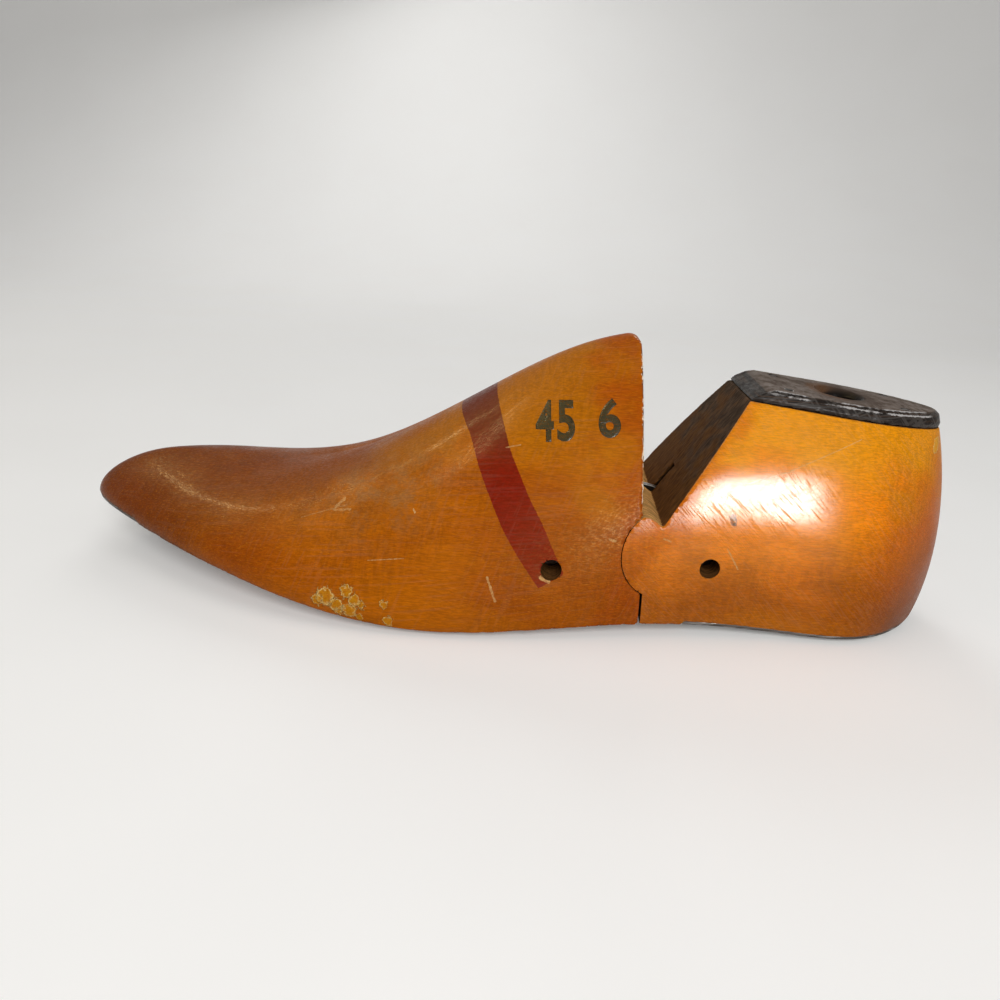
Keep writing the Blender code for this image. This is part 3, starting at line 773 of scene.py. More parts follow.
def write_attribute(mesh: Mesh, name: str, values: Array) -> None:
    """Store one number at each vertex."""
    attribute = mesh.attributes.new(name, "FLOAT", "POINT")
    attribute.data.foreach_set("value", values.astype(np.float32))


@dataclass
class FineSurface:
    """Even, dense skin over a crisply cut mesh, with softly worn edges.

    Its attribute edge holds each vertex's distance from the nearest sharp edge, in millimetres, and
    upward holds how far the surface faces up.
    """

    name: str
    exact: Mesh
    voxel: float
    snap: float = 0.45
    crease: float = math.radians(30)
    shading_crease: float = math.radians(50)
    soft_reach: tuple[float, float] = (0.3, 1.3)
    softness: float = 0.35
    chip_depth: float = 0.12
    chip_size: float = 3.0
    seed: int = 4
    calm_zone: Callable[[Array], Array] | None = None
    rough_zone: Callable[[Array], Array] | None = None
    rough_depth: float = 0.42
    rough_size: float = 1.7
    widest: float = 40.0

    def build(self, measure: Callable[[Array], dict[str, Array]]) -> Mesh:
        """Remesh, fit to the cut mesh, and wear the edges.

        Args:
            measure: Gives more numbers to store at the vertices, from their places before the wear.

        Returns:
            The finished mesh.
        """
        thing = add_object(self.name + "_skin", self.exact)
        add_modifier(thing, "REMESH", mode="VOXEL", voxel_size=self.voxel, use_smooth_shade=True)
        mesh = plain_mesh(self.name, thing)
        points = coordinates(mesh)
        sharp = sharp_edge_tree(self.exact, self.crease)
        found = [sharp.find(p) for p in points]
        edge = np.array([hit[2] for hit in found]) / MM
        exact = surface_of(self.exact)
        nearest = [exact.find_nearest(p) for p in points]
        target = np.array([hit[0] for hit in nearest])
        patch = smooth_patches(self.exact, self.crease)[[hit[2] for hit in nearest]]
        on_edge = edge < self.snap * self.voxel / MM
        links = mesh_links(mesh)
        straddling = links[(patch[links[:, 0]] != patch[links[:, 1]]) & ~on_edge[links].any(axis=1)]
        on_edge[straddling[np.arange(len(straddling)), np.argmin(edge[straddling], axis=1)]] = True
        target[on_edge] = np.array([hit[0] for hit in found])[on_edge]
        edge[on_edge] = 0.0
        for name, values in {"edge": edge, **measure(target)}.items():
            write_attribute(mesh, name, np.clip(values, -self.widest, self.widest))
        mesh.vertices.foreach_set("co", self.wear(mesh, target, edge).astype(np.float32).ravel())
        mesh.update()
        mesh.set_sharp_from_angle(angle=self.shading_crease)
        normals = np.empty(len(points) * 3, np.float32)
        mesh.vertex_normals.foreach_get("vector", normals)
        write_attribute(mesh, "upward", normals.reshape(-1, 3)[:, 2])
        return mesh

    def wear(self, mesh: Mesh, points: Array, edge: Array) -> Array:
        """Round the edges a little and press small dents into them.

        Args:
            mesh: Mesh that gives the links and keeps how rough each vertex is.
            points: Vertex places.
            edge: Distance of each vertex from the nearest sharp edge, in millimetres.

        Returns:
            The moved places.
        """
        calm, rough = (np.zeros(len(points)) if zone is None else zone(points)
                       for zone in (self.calm_zone, self.rough_zone))
        write_attribute(mesh, "rough", rough - calm)
        soft = (1 - smooth_step(edge, *self.soft_reach)) * (1 - calm) * self.softness
        inward = neighbour_means(points, mesh_links(mesh)) - points
        worn = points + inward * soft[:, None]
        inward /= np.maximum(np.linalg.norm(inward, axis=1), 1e-9)[:, None]
        dents = smooth_step(lattice_noise(points / MM, self.chip_size, self.seed), 0.60, 0.85)
        teeth = smooth_step(lattice_noise(points / MM, self.rough_size, self.seed + 1), 0.40, 0.72)
        depth = dents * (1 - calm) * self.chip_depth + teeth * rough * self.rough_depth
        return worn + inward * (depth * (edge == 0.0) * MM)[:, None]


# Node trees


class Wiring:
    """Short forms for adding nodes to one tree and joining them."""

    def __init__(self, tree: NodeTree) -> None:
        """Keep the tree."""
        self.tree = tree

    def add(self, kind: str, feeds: dict[str | int, Feed] | None = None, **settings: object) -> Node:
        """Add a node.

        Args:
            kind: Node type.
            feeds: What goes into its inputs, by name or number.
            **settings: Properties of the node.

        Returns:
            The new node.
        """
        node = self.tree.nodes.new(kind)
        for name, value in settings.items():
            setattr(node, name, value)
        self.fill(node, feeds or {})
        return node

    def fill(self, node: Node, feeds: dict[str | int, Feed]) -> None:
        """Feed some of a node's inputs, by name or number."""
        for key, value in feeds.items():
            self.feed(node.inputs[key], value)

    def feed(self, socket: Socket, value: Feed) -> None:
        """Link a socket, or set its own value.

        Args:
            socket: Input to feed.
            value: Another node's output, or a plain value.
        """
        if isinstance(value, Socket):
            self.tree.links.new(value, socket)
        elif isinstance(value, tuple) and socket.type == "RGBA":
            socket.default_value = (*value, 1.0)[:4]
        elif value is not None:
            socket.default_value = value

    def math(self, operation: str, *values: Feed, clamp: bool = False) -> Socket:
        """Result of a Math node."""
        node = self.add("ShaderNodeMath", dict(enumerate(values)), operation=operation, use_clamp=clamp)
        return node.outputs[0]

    def product(self, *values: Feed) -> Socket:
        """Several numbers multiplied."""
        return reduce(partial(self.math, "MULTIPLY"), values)

    def sum(self, *values: Feed) -> Socket:
        """Several numbers added."""
        return reduce(partial(self.math, "ADD"), values)

    def largest(self, *values: Feed) -> Socket:
        """Greatest of several numbers."""
        return reduce(partial(self.math, "MAXIMUM"), values)

    def rest(self, value: Feed) -> Socket:
        """What a share leaves of 1."""
        return self.math("SUBTRACT", 1.0, value)

    def vector(self, operation: str, *values: Feed, output: str = "Vector") -> Socket:
        """Result of a Vector Math node."""
        node = self.add("ShaderNodeVectorMath", dict(enumerate(values)), operation=operation)
        return node.outputs[output]

    def scale(self, vector: Feed, factor: Feed) -> Socket:
        """Vector or colour times a number."""
        node = self.add("ShaderNodeVectorMath", {"Vector": vector, "Scale": factor}, operation="SCALE")
        return node.outputs["Vector"]

    def ramp(self, value: Feed, low: Feed, high: Feed, out_low: Feed = 0.0, out_high: Feed = 1.0) -> Socket:
        """Soft passage of a value from the range low to high, to the range out_low to out_high."""
        feeds = {"Value": value, "From Min": low, "From Max": high, "To Min": out_low, "To Max": out_high}
        return self.add("ShaderNodeMapRange", feeds, interpolation_type="SMOOTHSTEP").outputs[0]

    def noise(self, vector: Feed, scale: Feed, detail: float = 3.0, roughness: float = 0.55,
              distortion: float = 0.0) -> Socket:
        """Noise from 0 to 1.

        Args:
            vector: Place at which it is read.
            scale: How fine it is, or how fine along each axis.
            detail: Number of finer layers.
            roughness: Strength of the finer layers.
            distortion: How much it is bent.

        Returns:
            The noise.
        """
        if isinstance(scale, tuple):
            vector, scale = self.vector("MULTIPLY", vector, scale), 1.0
        feeds = {"Vector": vector, "Scale": scale, "Detail": detail, "Roughness": roughness,
                 "Distortion": distortion}
        return self.add("ShaderNodeTexNoise", feeds).outputs[0]

    def component(self, vector: Feed, axis: int) -> Socket:
        """One of a vector's three numbers."""
        return self.add("ShaderNodeSeparateXYZ", {0: vector}).outputs[axis]

    def turn(self, vector: Feed, angle: Feed, axis: str = "Y_AXIS") -> Socket:
        """Vector turned about an axis through the origin."""
        node = self.add("ShaderNodeVectorRotate", {"Vector": vector, "Angle": angle}, rotation_type=axis)
        return node.outputs[0]

    def mix(self, factor: Feed, first: Feed, second: Feed) -> Socket:
        """Two colours mixed."""
        return self.add("ShaderNodeMix", {0: factor, 6: first, 7: second}, data_type="RGBA").outputs[2]

    def attribute(self, name: str) -> Socket:
        """Number stored at the vertices."""
        return self.add("ShaderNodeAttribute", attribute_name=name).outputs["Fac"]

    def place(self) -> Socket:
        """Place on the object, in millimetres."""
        return self.scale(self.add("ShaderNodeTexCoord").outputs["Object"], 1 / MM)

    def bump(self, height: Feed, strength: float = 1.0) -> Socket:
        """Normal over a height in millimetres."""
        return self.add("ShaderNodeBump", {"Height": height, "Distance": MM, "Strength": strength}).outputs[0]

    def group(self, tree: NodeTree, **feeds: Feed) -> Node:
        """Add a node group, with spaces in its inputs' names written as underscores."""
        return self.add("ShaderNodeGroup", {key.replace("_", " "): feed for key, feed in feeds.items()},
                        node_tree=tree)


def shader_group(name: str, inputs: dict[str, Feed], outputs: Sequence[str],
                 wire: Callable[[Wiring, dict[str, Socket]], Sequence[Socket]]) -> NodeTree:
    """Build a shader node group whose inputs are numbers and vectors, after Place.

    Args:
        name: Name of the group.
        inputs: Input names, with the value each starts at.
        outputs: Output names, all numbers.
        wire: Adds the nodes and returns one socket for each output.

    Returns:
        The group's tree.
    """
    tree = bpy.data.node_groups.new(name, "ShaderNodeTree")
    inputs = {"Place": ORIGIN, **inputs}
    for key, value in inputs.items():
        kind = "NodeSocketVector" if isinstance(value, tuple) else "NodeSocketFloat"
        tree.interface.new_socket(key, in_out="INPUT", socket_type=kind).default_value = value
    for key in outputs:
        tree.interface.new_socket(key, in_out="OUTPUT", socket_type="NodeSocketFloat")
    entry, leave = tree.nodes.new("NodeGroupInput"), tree.nodes.new("NodeGroupOutput")
    results = wire(Wiring(tree), {key: entry.outputs[key] for key in inputs})
    for key, socket in zip(outputs, results):
        tree.links.new(socket, leave.inputs[key])
    return tree


def maple_grain(w: Wiring, given: dict[str, Socket]) -> list[Socket]:
    """Straight-grained maple, with growth rings round a pith line below the wood.

    Args:
        w: Wiring of the group.
        given: Its inputs.

    Returns:
        Rings, flecks, glints, clouds and curl, each from 0 to 1.
    """
    place = given["Place"]
    bent = w.noise(place, (0.010, 0.03, 0.03), 2.0)
    wide = w.vector("MULTIPLY", w.vector("ADD", place, (0.0, 14.0, 46.0)), (0.02, 1.0, 1.0))
    phase = w.sum(w.vector("LENGTH", wide, output="Value"), w.product(bent, 26.0))
    wave = w.math("SINE", w.math("DIVIDE", w.product(phase, 2 * math.pi), given["Ring Spacing"]))
    flecks = w.noise(w.vector("DIVIDE", place, (3.0, 0.42, 0.42)), 1.0, 3.0, 0.6, 0.5)
    glints = w.noise(w.vector("DIVIDE", place, (1.8, 0.26, 0.26)), 1.0, 1.0, 0.5, 0.8)
    clouds = w.noise(place, (0.012, 0.03, 0.03), 3.0, 0.5, 0.6)
    ripples = w.noise(place, (0.95, 0.18, 0.15), 2.0, 0.5, 0.4)
    curl = w.product(w.ramp(ripples, 0.38, 0.62), w.ramp(w.noise(place, 0.035, 2.0), 0.38, 0.60))
    return [w.ramp(wave, -0.2, 1.0), w.ramp(flecks, 0.32, 0.68), w.ramp(glints, 0.54, 0.74),
            w.ramp(clouds, 0.32, 0.68), curl]


def fine_scratches(w: Wiring, given: dict[str, Socket]) -> list[Socket]:
    """Straight scratches that all run one way: noise drawn out along them, kept at its peaks.

    Args:
        w: Wiring of the group.
        given: Its inputs.

    Returns:
        The scratches' mask.
    """
    drawn = w.vector("MULTIPLY", w.turn(given["Place"], given["Angle"]), (0.06, 0.25, 1.5))
    lines = w.noise(w.vector("ADD", drawn, given["Shift"]), given["Density"], 1.0, 0.5)
    patches = w.noise(w.vector("ADD", given["Place"], given["Shift"]), 0.05, 2.0)
    return [w.product(w.ramp(lines, 0.54, 0.65), w.ramp(patches, 0.36, 0.60, 0.15, 1.0))]


def ragged_mark(w: Wiring, given: dict[str, Socket]) -> list[Socket]:
    """One ragged scratch or spot: the distance from a line, cut off at its width.

    Args:
        w: Wiring of the group.
        given: Its inputs.

    Returns:
        The mark's mask and that of its rim.
    """
    width = given["Width"]
    run = w.vector("SUBTRACT", given["End"], given["Start"])
    offset = w.vector("SUBTRACT", given["Place"], given["Start"])
    reach, square = (w.vector("DOT_PRODUCT", one, run, output="Value") for one in (offset, run))
    share = w.math("DIVIDE", reach, w.largest(square, 0.01), clamp=True)
    distance = w.vector("LENGTH", w.vector("SUBTRACT", offset, w.scale(run, share)), output="Value")
    edge = w.sum(distance, given["Ragged"])
    inside = w.ramp(edge, width, w.product(width, 0.8))
    return [inside, w.product(w.ramp(edge, w.product(width, 0.6), w.product(width, 0.82)), inside)]


def edge_chips_and_highlight(w: Wiring, given: dict[str, Socket]) -> list[Socket]:
    """Chipped edges, and painted highlight lines along edges: a narrow line with gaps in it, from the
    distance to the nearest edge.

    Args:
        w: Wiring of the group.
        given: Its inputs.

    Returns:
        The mask of the chips and highlight lines.
    """
    ragged = w.noise(given["Place"], 0.7, 4.0, 0.65)
    reach = w.product(given["Reach"], w.ramp(ragged, 0.40, 0.68, 0.4, 1.7))
    return [w.ramp(given["Edge"], reach, w.product(reach, 0.5))]


class Effects:
    """The shader groups that several finishes share."""

    def __init__(self) -> None:
        """Build each group once."""
        self.grain = shader_group("maple_grain", {"Ring Spacing": 4.4},
                                  ["Rings", "Flecks", "Glints", "Clouds", "Curl"], maple_grain)
        self.scratches = shader_group("fine_scratches", {"Angle": 0.0, "Shift": ORIGIN, "Density": 1.0},
                                      ["Mask"], fine_scratches)
        self.mark = shader_group("ragged_mark", {"Start": ORIGIN, "End": ORIGIN, "Width": 0.4, "Ragged": 0.0},
                                 ["Mask", "Rim"], ragged_mark)
        self.wear = shader_group("edge_chips_and_highlight", {"Edge": 0.0, "Reach": 0.5}, ["Chips"], edge_chips_and_highlight)


def new_material(name: str) -> tuple[Material, Wiring, Node]:
    """Start a material.

    Args:
        name: Name of the material.

    Returns:
        The material, its wiring and its Principled BSDF node.
    """
    material = bpy.data.materials.new(name)
    material.use_nodes = True
    shader = material.node_tree.nodes["Principled BSDF"]
    return material, Wiring(material.node_tree), shader


# Finishes


@dataclass(frozen=True)
class Mark:
    """A scratch, crust or stain on the outer side, between two (along, z) places."""

    start: Point2
    end: Point2
    width: float
    ragged: float = 0.4
    color: Color = (0.72, 0.42, 0.16)
    strength: float = 0.7
    height: float = -0.05
    rim: float = 0.0

    def ends(self) -> tuple[Point3, Point3]:
        """The two ends in millimetres on the object's own axes, on its middle plane."""
        first, second = [(MIDDLE_ALONG - a, 0.0, z) for a, z in (self.start, self.end)]
        return first, second


@dataclass(frozen=True)
class VarnishedMaple:
    """Amber varnish on maple, worn at the edges, raw where it was sawn; shade is painted on its tops, under
    its toe and in its slot, and a highlight along the cone's rough edge.

    Ranges and reaches are in millimetres on the object's own axes. A layer of scratches is its angle in
    degrees, its density, its strength, and its strength for each unit of sanded.
    """

    name: str
    light: Color = (0.44, 0.110, 0.001)
    deep: Color = (0.32, 0.062, 0.001)
    gold: Color = (0.64, 0.20, 0.004)
    red: Color = (0.33, 0.048, 0.001)
    brown: Color = (0.12, 0.016, 0.001)
    paint: Color = (0.19, 0.001, 0.002)
    paint_dark: Color = (0.11, 0.007, 0.006)
    rubbed: Color = (0.50, 0.17, 0.012)
    # Colour of bare wood at scratches and chips, and of the painted highlight on the cone's rough edge.
    bare_wood_and_edge_highlight: Color = (0.92, 0.78, 0.60)
    crust_rim: Color = (0.86, 0.64, 0.26)
    raw: Color = (0.095, 0.040, 0.012)
    raw_dark: Color = (0.070, 0.045, 0.030)
    land: Color = (0.44, 0.23, 0.075)
    # Painted shade colour of the slot and the lower seam.
    painted_slot_shade: Color = (0.012, 0.006, 0.003)
    haze: Color = (0.25, 0.105, 0.035)
    # Painted shade: the colour that tops facing up are darkened to.
    crest_shade_and_highlight: Color = (0.20, 0.040, 0.002)
    high: Color = (0.44, 0.140, 0.001)
    roughness: float = 0.34
    raw_roughness: float = 0.82
    coat_weight: float = 0.22
    coat_roughness: float = 0.15
    coat_ior: float = 1.4
    specular_level: float = 0.30
    specular_tint: Color = (1.0, 0.58, 0.14)
    low_shade: float = 1.0
    high_amount: float = 0.7
    # Strength of the painted shade on the tops.
    crest_shade_amount: float = 0.85
    sparkle: float = 0.8
    red_reach: float = 20.0
    haze_spot: Point3 | None = None
    dull_range: Point2 | None = None
    sanded: float = 0.0
    scratches: tuple[tuple[float, float, float, float], ...] = (
        (-42, 1.7, 0, 1), (-49, 2.1, 0, 1), (35, 1.3, 0, 0.4), (8, 0.8, 0.35, 0), (70, 0.7, 0.3, 0))
    red_plane: Point3 = (0.0, 0.0, 0.0)
    toe_range: Point2 = (0.0, 0.0)
    marks: tuple[Mark, ...] = ()

    def material(self, effects: Effects) -> Material:
        """Build the material.

        Args:
            effects: Shader groups shared by the finishes.

        Returns:
            The material.
        """
        material, w, shader = new_material(self.name)
        place = w.place()
        grain = w.group(effects.grain, Place=place)
        flecks = grain.outputs["Flecks"]
        fine = self.scratched(w, place, effects)
        color = self.painted(w, place, flecks, self.varnish_color(w, place, grain))
        color = w.mix(w.product(fine, 0.045), color, self.bare_wood_and_edge_highlight)
        color, height = self.add_marks(w, place, effects, color)
        # Edge chips show bare wood; along the cone's rough saw-cut edge their wider, nearly unbroken pale
        # line is partly real chips and partly a painted highlight.
        rough = w.attribute("rough")
        reach = w.largest(w.math("MULTIPLY_ADD", rough, 0.34, 0.12), 0.01)
        wear = w.group(effects.wear, Place=place, Edge=w.attribute("edge"), Reach=reach)
        sawn = w.ramp(w.attribute("depth"), 0.12, 0.30)
        chips = w.product(wear.outputs["Chips"], w.rest(sawn))
        color = w.mix(w.product(chips, 0.85), color, w.mix(w.largest(rough, 0.0), self.rubbed, self.bare_wood_and_edge_highlight))
        raw_color, saw_height = self.sawn_color(w, place)
        varnished = w.product(w.rest(sawn), w.rest(w.product(chips, 0.8)))
        spots = w.noise(w.turn(place, math.radians(35)), (0.7, 1.5, 1.5), 3.0, 0.65)
        matt = w.product(w.ramp(spots, 0.60, 0.48), self.sparkle)
        dull = w.ramp(w.noise(place, 0.06, 4.0), 0.35, 0.7, -0.05, 0.09)
        gloss = w.sum(self.roughness, w.product(fine, 0.16), dull)
        gloss = w.math("MULTIPLY_ADD", matt, 0.22, gloss)
        wavy = w.product(w.noise(place, 0.12, 2.0), 0.10)
        surface = w.sum(w.product(flecks, 0.018), w.sum(wavy, w.product(fine, -0.030)), height)
        w.fill(shader, {
            "Base Color": w.mix(sawn, color, raw_color),
            "Roughness": w.ramp(varnished, 0.0, 1.0, self.raw_roughness, gloss),
            "Coat Weight": self.coat(w, place, w.product(varnished, w.rest(w.product(matt, 0.8))), fine),
            "Coat Roughness": self.coat_roughness,
            "Coat IOR": self.coat_ior,
            "Specular IOR Level": self.specular_level,
            "Specular Tint": self.specular_tint,
            "Normal": w.bump(w.sum(w.product(surface, varnished), w.product(saw_height, sawn))),
        })
        return material

    def coat(self, w: Wiring, place: Socket, kept: Socket, fine: Socket) -> Socket:
        """Weight of the clear coat, thin where hands, the saw and the floor wore it.

        Args:
            w: Wiring of the material.
            place: Place on the object, in millimetres.
            kept: Share of the coat that is left by chips and matt spots.
            fine: Mask of the fine scratches.

        Returns:
            The weight.
        """
        weight = w.product(kept, w.ramp(w.component(place, 2), 8.0, 36.0, 0.3, 1.0),
                           w.ramp(w.attribute("upward"), 0.60, 0.90, 1.0, 0.45),
                           w.ramp(self.from_cut(w, place), 0.5, self.red_reach, 0.2, 1.0),
                           w.ramp(fine, 0.0, 0.8, self.coat_weight, self.coat_weight * 0.1))
        if self.dull_range is None:
            return weight
        start, stop = self.dull_range
        forward = w.component(place, 0)
        dull = w.product(w.ramp(forward, start - 8, start + 8), w.ramp(forward, stop + 8, stop - 8))
        return w.product(weight, w.ramp(dull, 0.0, 1.0, 1.0, 0.15))

    def painted(self, w: Wiring, place: Socket, flecks: Socket, color: Socket) -> Socket:
        """Lay the painted band over the varnish.

        Args:
            w: Wiring of the material.
            place: Place on the object, in millimetres.
            flecks: Flecks of the grain.
            color: Colour of the varnish.

        Returns:
            The colour with the band.
        """
        ragged = w.ramp(w.noise(place, 1.2), 0.3, 0.7, -0.08, 0.08)
        paint = w.ramp(w.sum(w.attribute("stripe"), ragged), -0.12, 0.12)
        stain = w.mix(w.ramp(w.component(place, 2), 50.0, 64.0), self.paint, self.paint_dark)
        stain = w.scale(stain, w.ramp(flecks, 0.0, 1.0, 0.85, 1.15))
        return w.mix(w.product(paint, 0.93), color, stain)

    def varnish_color(self, w: Wiring, place: Socket, grain: Node) -> Socket:
        """Amber tone with grain, reddened near the saw cut, browned at the toe and darker towards the bottom,
        with painted shade on upward-facing tops and on downward faces within the toe range.

        Args:
            w: Wiring of the material.
            place: Place on the object, in millimetres.
            grain: The grain group's node.

        Returns:
            The colour.
        """
        upward, rise = w.attribute("upward"), w.component(place, 2)
        color = w.mix(grain.outputs["Clouds"], self.light, self.deep)
        color = w.mix(w.product(grain.outputs["Rings"], 0.07), color, self.brown)
        drift = w.ramp(w.noise(place, 0.05, 3.0), 0.3, 0.7, -9.0, 9.0)
        # Painted shade: the more a face looks up, the more it takes the darker crest colour.
        crest_shade_and_highlight = w.ramp(w.sum(upward, w.product(drift, 0.012)), 0.66, 0.95)
        color = w.mix(w.product(crest_shade_and_highlight, self.crest_shade_amount), color, self.crest_shade_and_highlight)
        if self.toe_range != (0.0, 0.0):
            toe = w.ramp(w.sum(w.component(place, 0), drift), *self.toe_range)
            color = w.mix(w.product(toe, 0.8), color, self.brown)
            # Painted shade: faces that look down within the toe range are darkened to half, standing in for
            # the shade beneath.
            below = w.product(toe, w.ramp(upward, 0.15, -0.40))
            color = w.scale(color, w.ramp(below, 0.0, 1.0, 1.0, 0.5))
        if self.haze_spot is not None:
            away = w.vector("DISTANCE", place, self.haze_spot, output="Value")
            cloud = w.ramp(w.noise(w.turn(place, math.radians(30)), 0.13, 7.0, 0.72), 0.42, 0.62)
            color = w.mix(w.product(cloud, w.ramp(away, 30.0, 8.0), 0.7), color, self.haze)
        risen = w.ramp(w.sum(rise, drift), 40.0, 68.0)
        color = w.mix(w.product(risen, self.high_amount), color, self.high)
        near_cut = w.ramp(w.sum(self.from_cut(w, place), w.product(drift, self.red_reach / 20.0)),
                          self.red_reach, 0.0)
        color = w.mix(w.product(near_cut, 0.75), color, self.red)
        low = w.ramp(w.sum(rise, drift), 12.0, 42.0, self.low_shade, 1.0)
        color = w.scale(color, w.product(low, w.ramp(grain.outputs["Flecks"], 0.0, 1.0, 0.84, 1.13)))
        color = w.scale(color, w.ramp(grain.outputs["Curl"], 0.0, 1.0, 1.03, 0.91))
        return w.mix(w.product(grain.outputs["Glints"], low, 0.30), color, self.gold)

    def from_cut(self, w: Wiring, place: Socket) -> Socket:
        """Distance from the plane of the saw cut, in millimetres."""
        across, rise, offset = self.red_plane
        return w.sum(w.vector("DOT_PRODUCT", place, (across, 0.0, rise), output="Value"), offset)

    def scratched(self, w: Wiring, place: Socket, effects: Effects) -> Socket:
        """Crossed sanding and handling scratches.

        Args:
            w: Wiring of the material.
            place: Place on the object, in millimetres.
            effects: Shader groups shared by the finishes.

        Returns:
            The scratches' mask.
        """
        layers = []
        for number, (angle, density, amount, share) in enumerate(self.scratches):
            group = w.group(effects.scratches, Place=place, Angle=math.radians(angle),
                            Shift=(number * 7.3, number * 3.1, number * 5.7), Density=density)
            layers.append(w.product(group.outputs["Mask"], amount + share * self.sanded))
        return w.largest(*layers)

    def add_marks(self, w: Wiring, place: Socket, effects: Effects, color: Socket) -> tuple[Socket, Socket]:
        """Lay each mark over the varnish.

        Args:
            w: Wiring of the material.
            place: Place on the object, in millimetres.
            effects: Shader groups shared by the finishes.
            color: Colour before the marks.

        Returns:
            The colour with the marks, and their height in millimetres.
        """
        height: Feed = 0.0
        flat = w.vector("MULTIPLY", place, (1.0, 0.0, 1.0))
        outer = w.ramp(w.component(place, 1), -1.0, -3.0)
        ragged = w.math("SUBTRACT", w.noise(place, 0.9, 4.0, 0.6), 0.5)
        patchy = w.ramp(w.noise(place, 1.3, 3.0, 0.6), 0.35, 0.65, 0.45, 1.2)
        for mark in self.marks:
            first, second = mark.ends()
            group = w.group(effects.mark, Place=flat, Start=first, End=second, Width=mark.width,
                            Ragged=w.product(ragged, mark.ragged))
            mask = w.product(group.outputs["Mask"], outer)
            color = w.mix(w.product(mask, patchy, mark.strength), color, mark.color)
            if mark.rim:
                color = w.mix(w.product(group.outputs["Rim"], outer, patchy, mark.rim), color, self.crust_rim)
            height = w.sum(height, w.product(mask, mark.height))
        return color, height

    def sawn_color(self, w: Wiring, place: Socket) -> tuple[Socket, Socket]:
        """Raw wood with slanting saw marks, darker towards the top, with painted shade in the slot and the
        lower seam.

        Args:
            w: Wiring of the material.
            place: Place on the object, in millimetres.

        Returns:
            The colour, and the saw marks' height in millimetres.
        """
        leaning = w.turn(place, JOINT.v_lean)
        slanted, crossed = (w.turn(leaning, math.radians(angle), "X_AXIS") for angle in (24, -30))
        streaks = w.noise(slanted, (0.3, 2.6, 0.05), 4.0, 0.62, 0.2)
        hatch = w.noise(crossed, (0.3, 1.1, 0.12), 3.0, 0.6)
        height, forward = w.component(place, 2), w.component(place, 0)
        # Darker and greyer towards the top of the face.
        top_darkening = w.ramp(w.sum(height, w.ramp(w.noise(place, 0.12), 0.3, 0.7, -14.0, 14.0)), 52.0, 74.0)
        edge_of_land = MIDDLE_ALONG - JOINT.v_bottom[0]
        land = w.product(w.ramp(forward, edge_of_land + 0.3, edge_of_land - 0.3),
                         w.ramp(height, JOINT.v_bottom[1] - 1.5, JOINT.v_bottom[1] - 0.5))
        color = w.mix(w.product(top_darkening, 0.9), w.mix(land, self.raw, self.land), self.raw_dark)
        color = w.scale(color, w.ramp(streaks, 0.38, 0.66, 0.55, 2.0))
        color = w.scale(color, w.ramp(w.product(hatch, top_darkening), 0.35, 0.60, 1.0, 0.55))
        # Painted shade: faces in the slot and the lower seam are made near black.
        color = w.mix(w.attribute("slot"), color, self.painted_slot_shade)
        return color, w.sum(w.product(streaks, 0.30), w.product(hatch, 0.12))


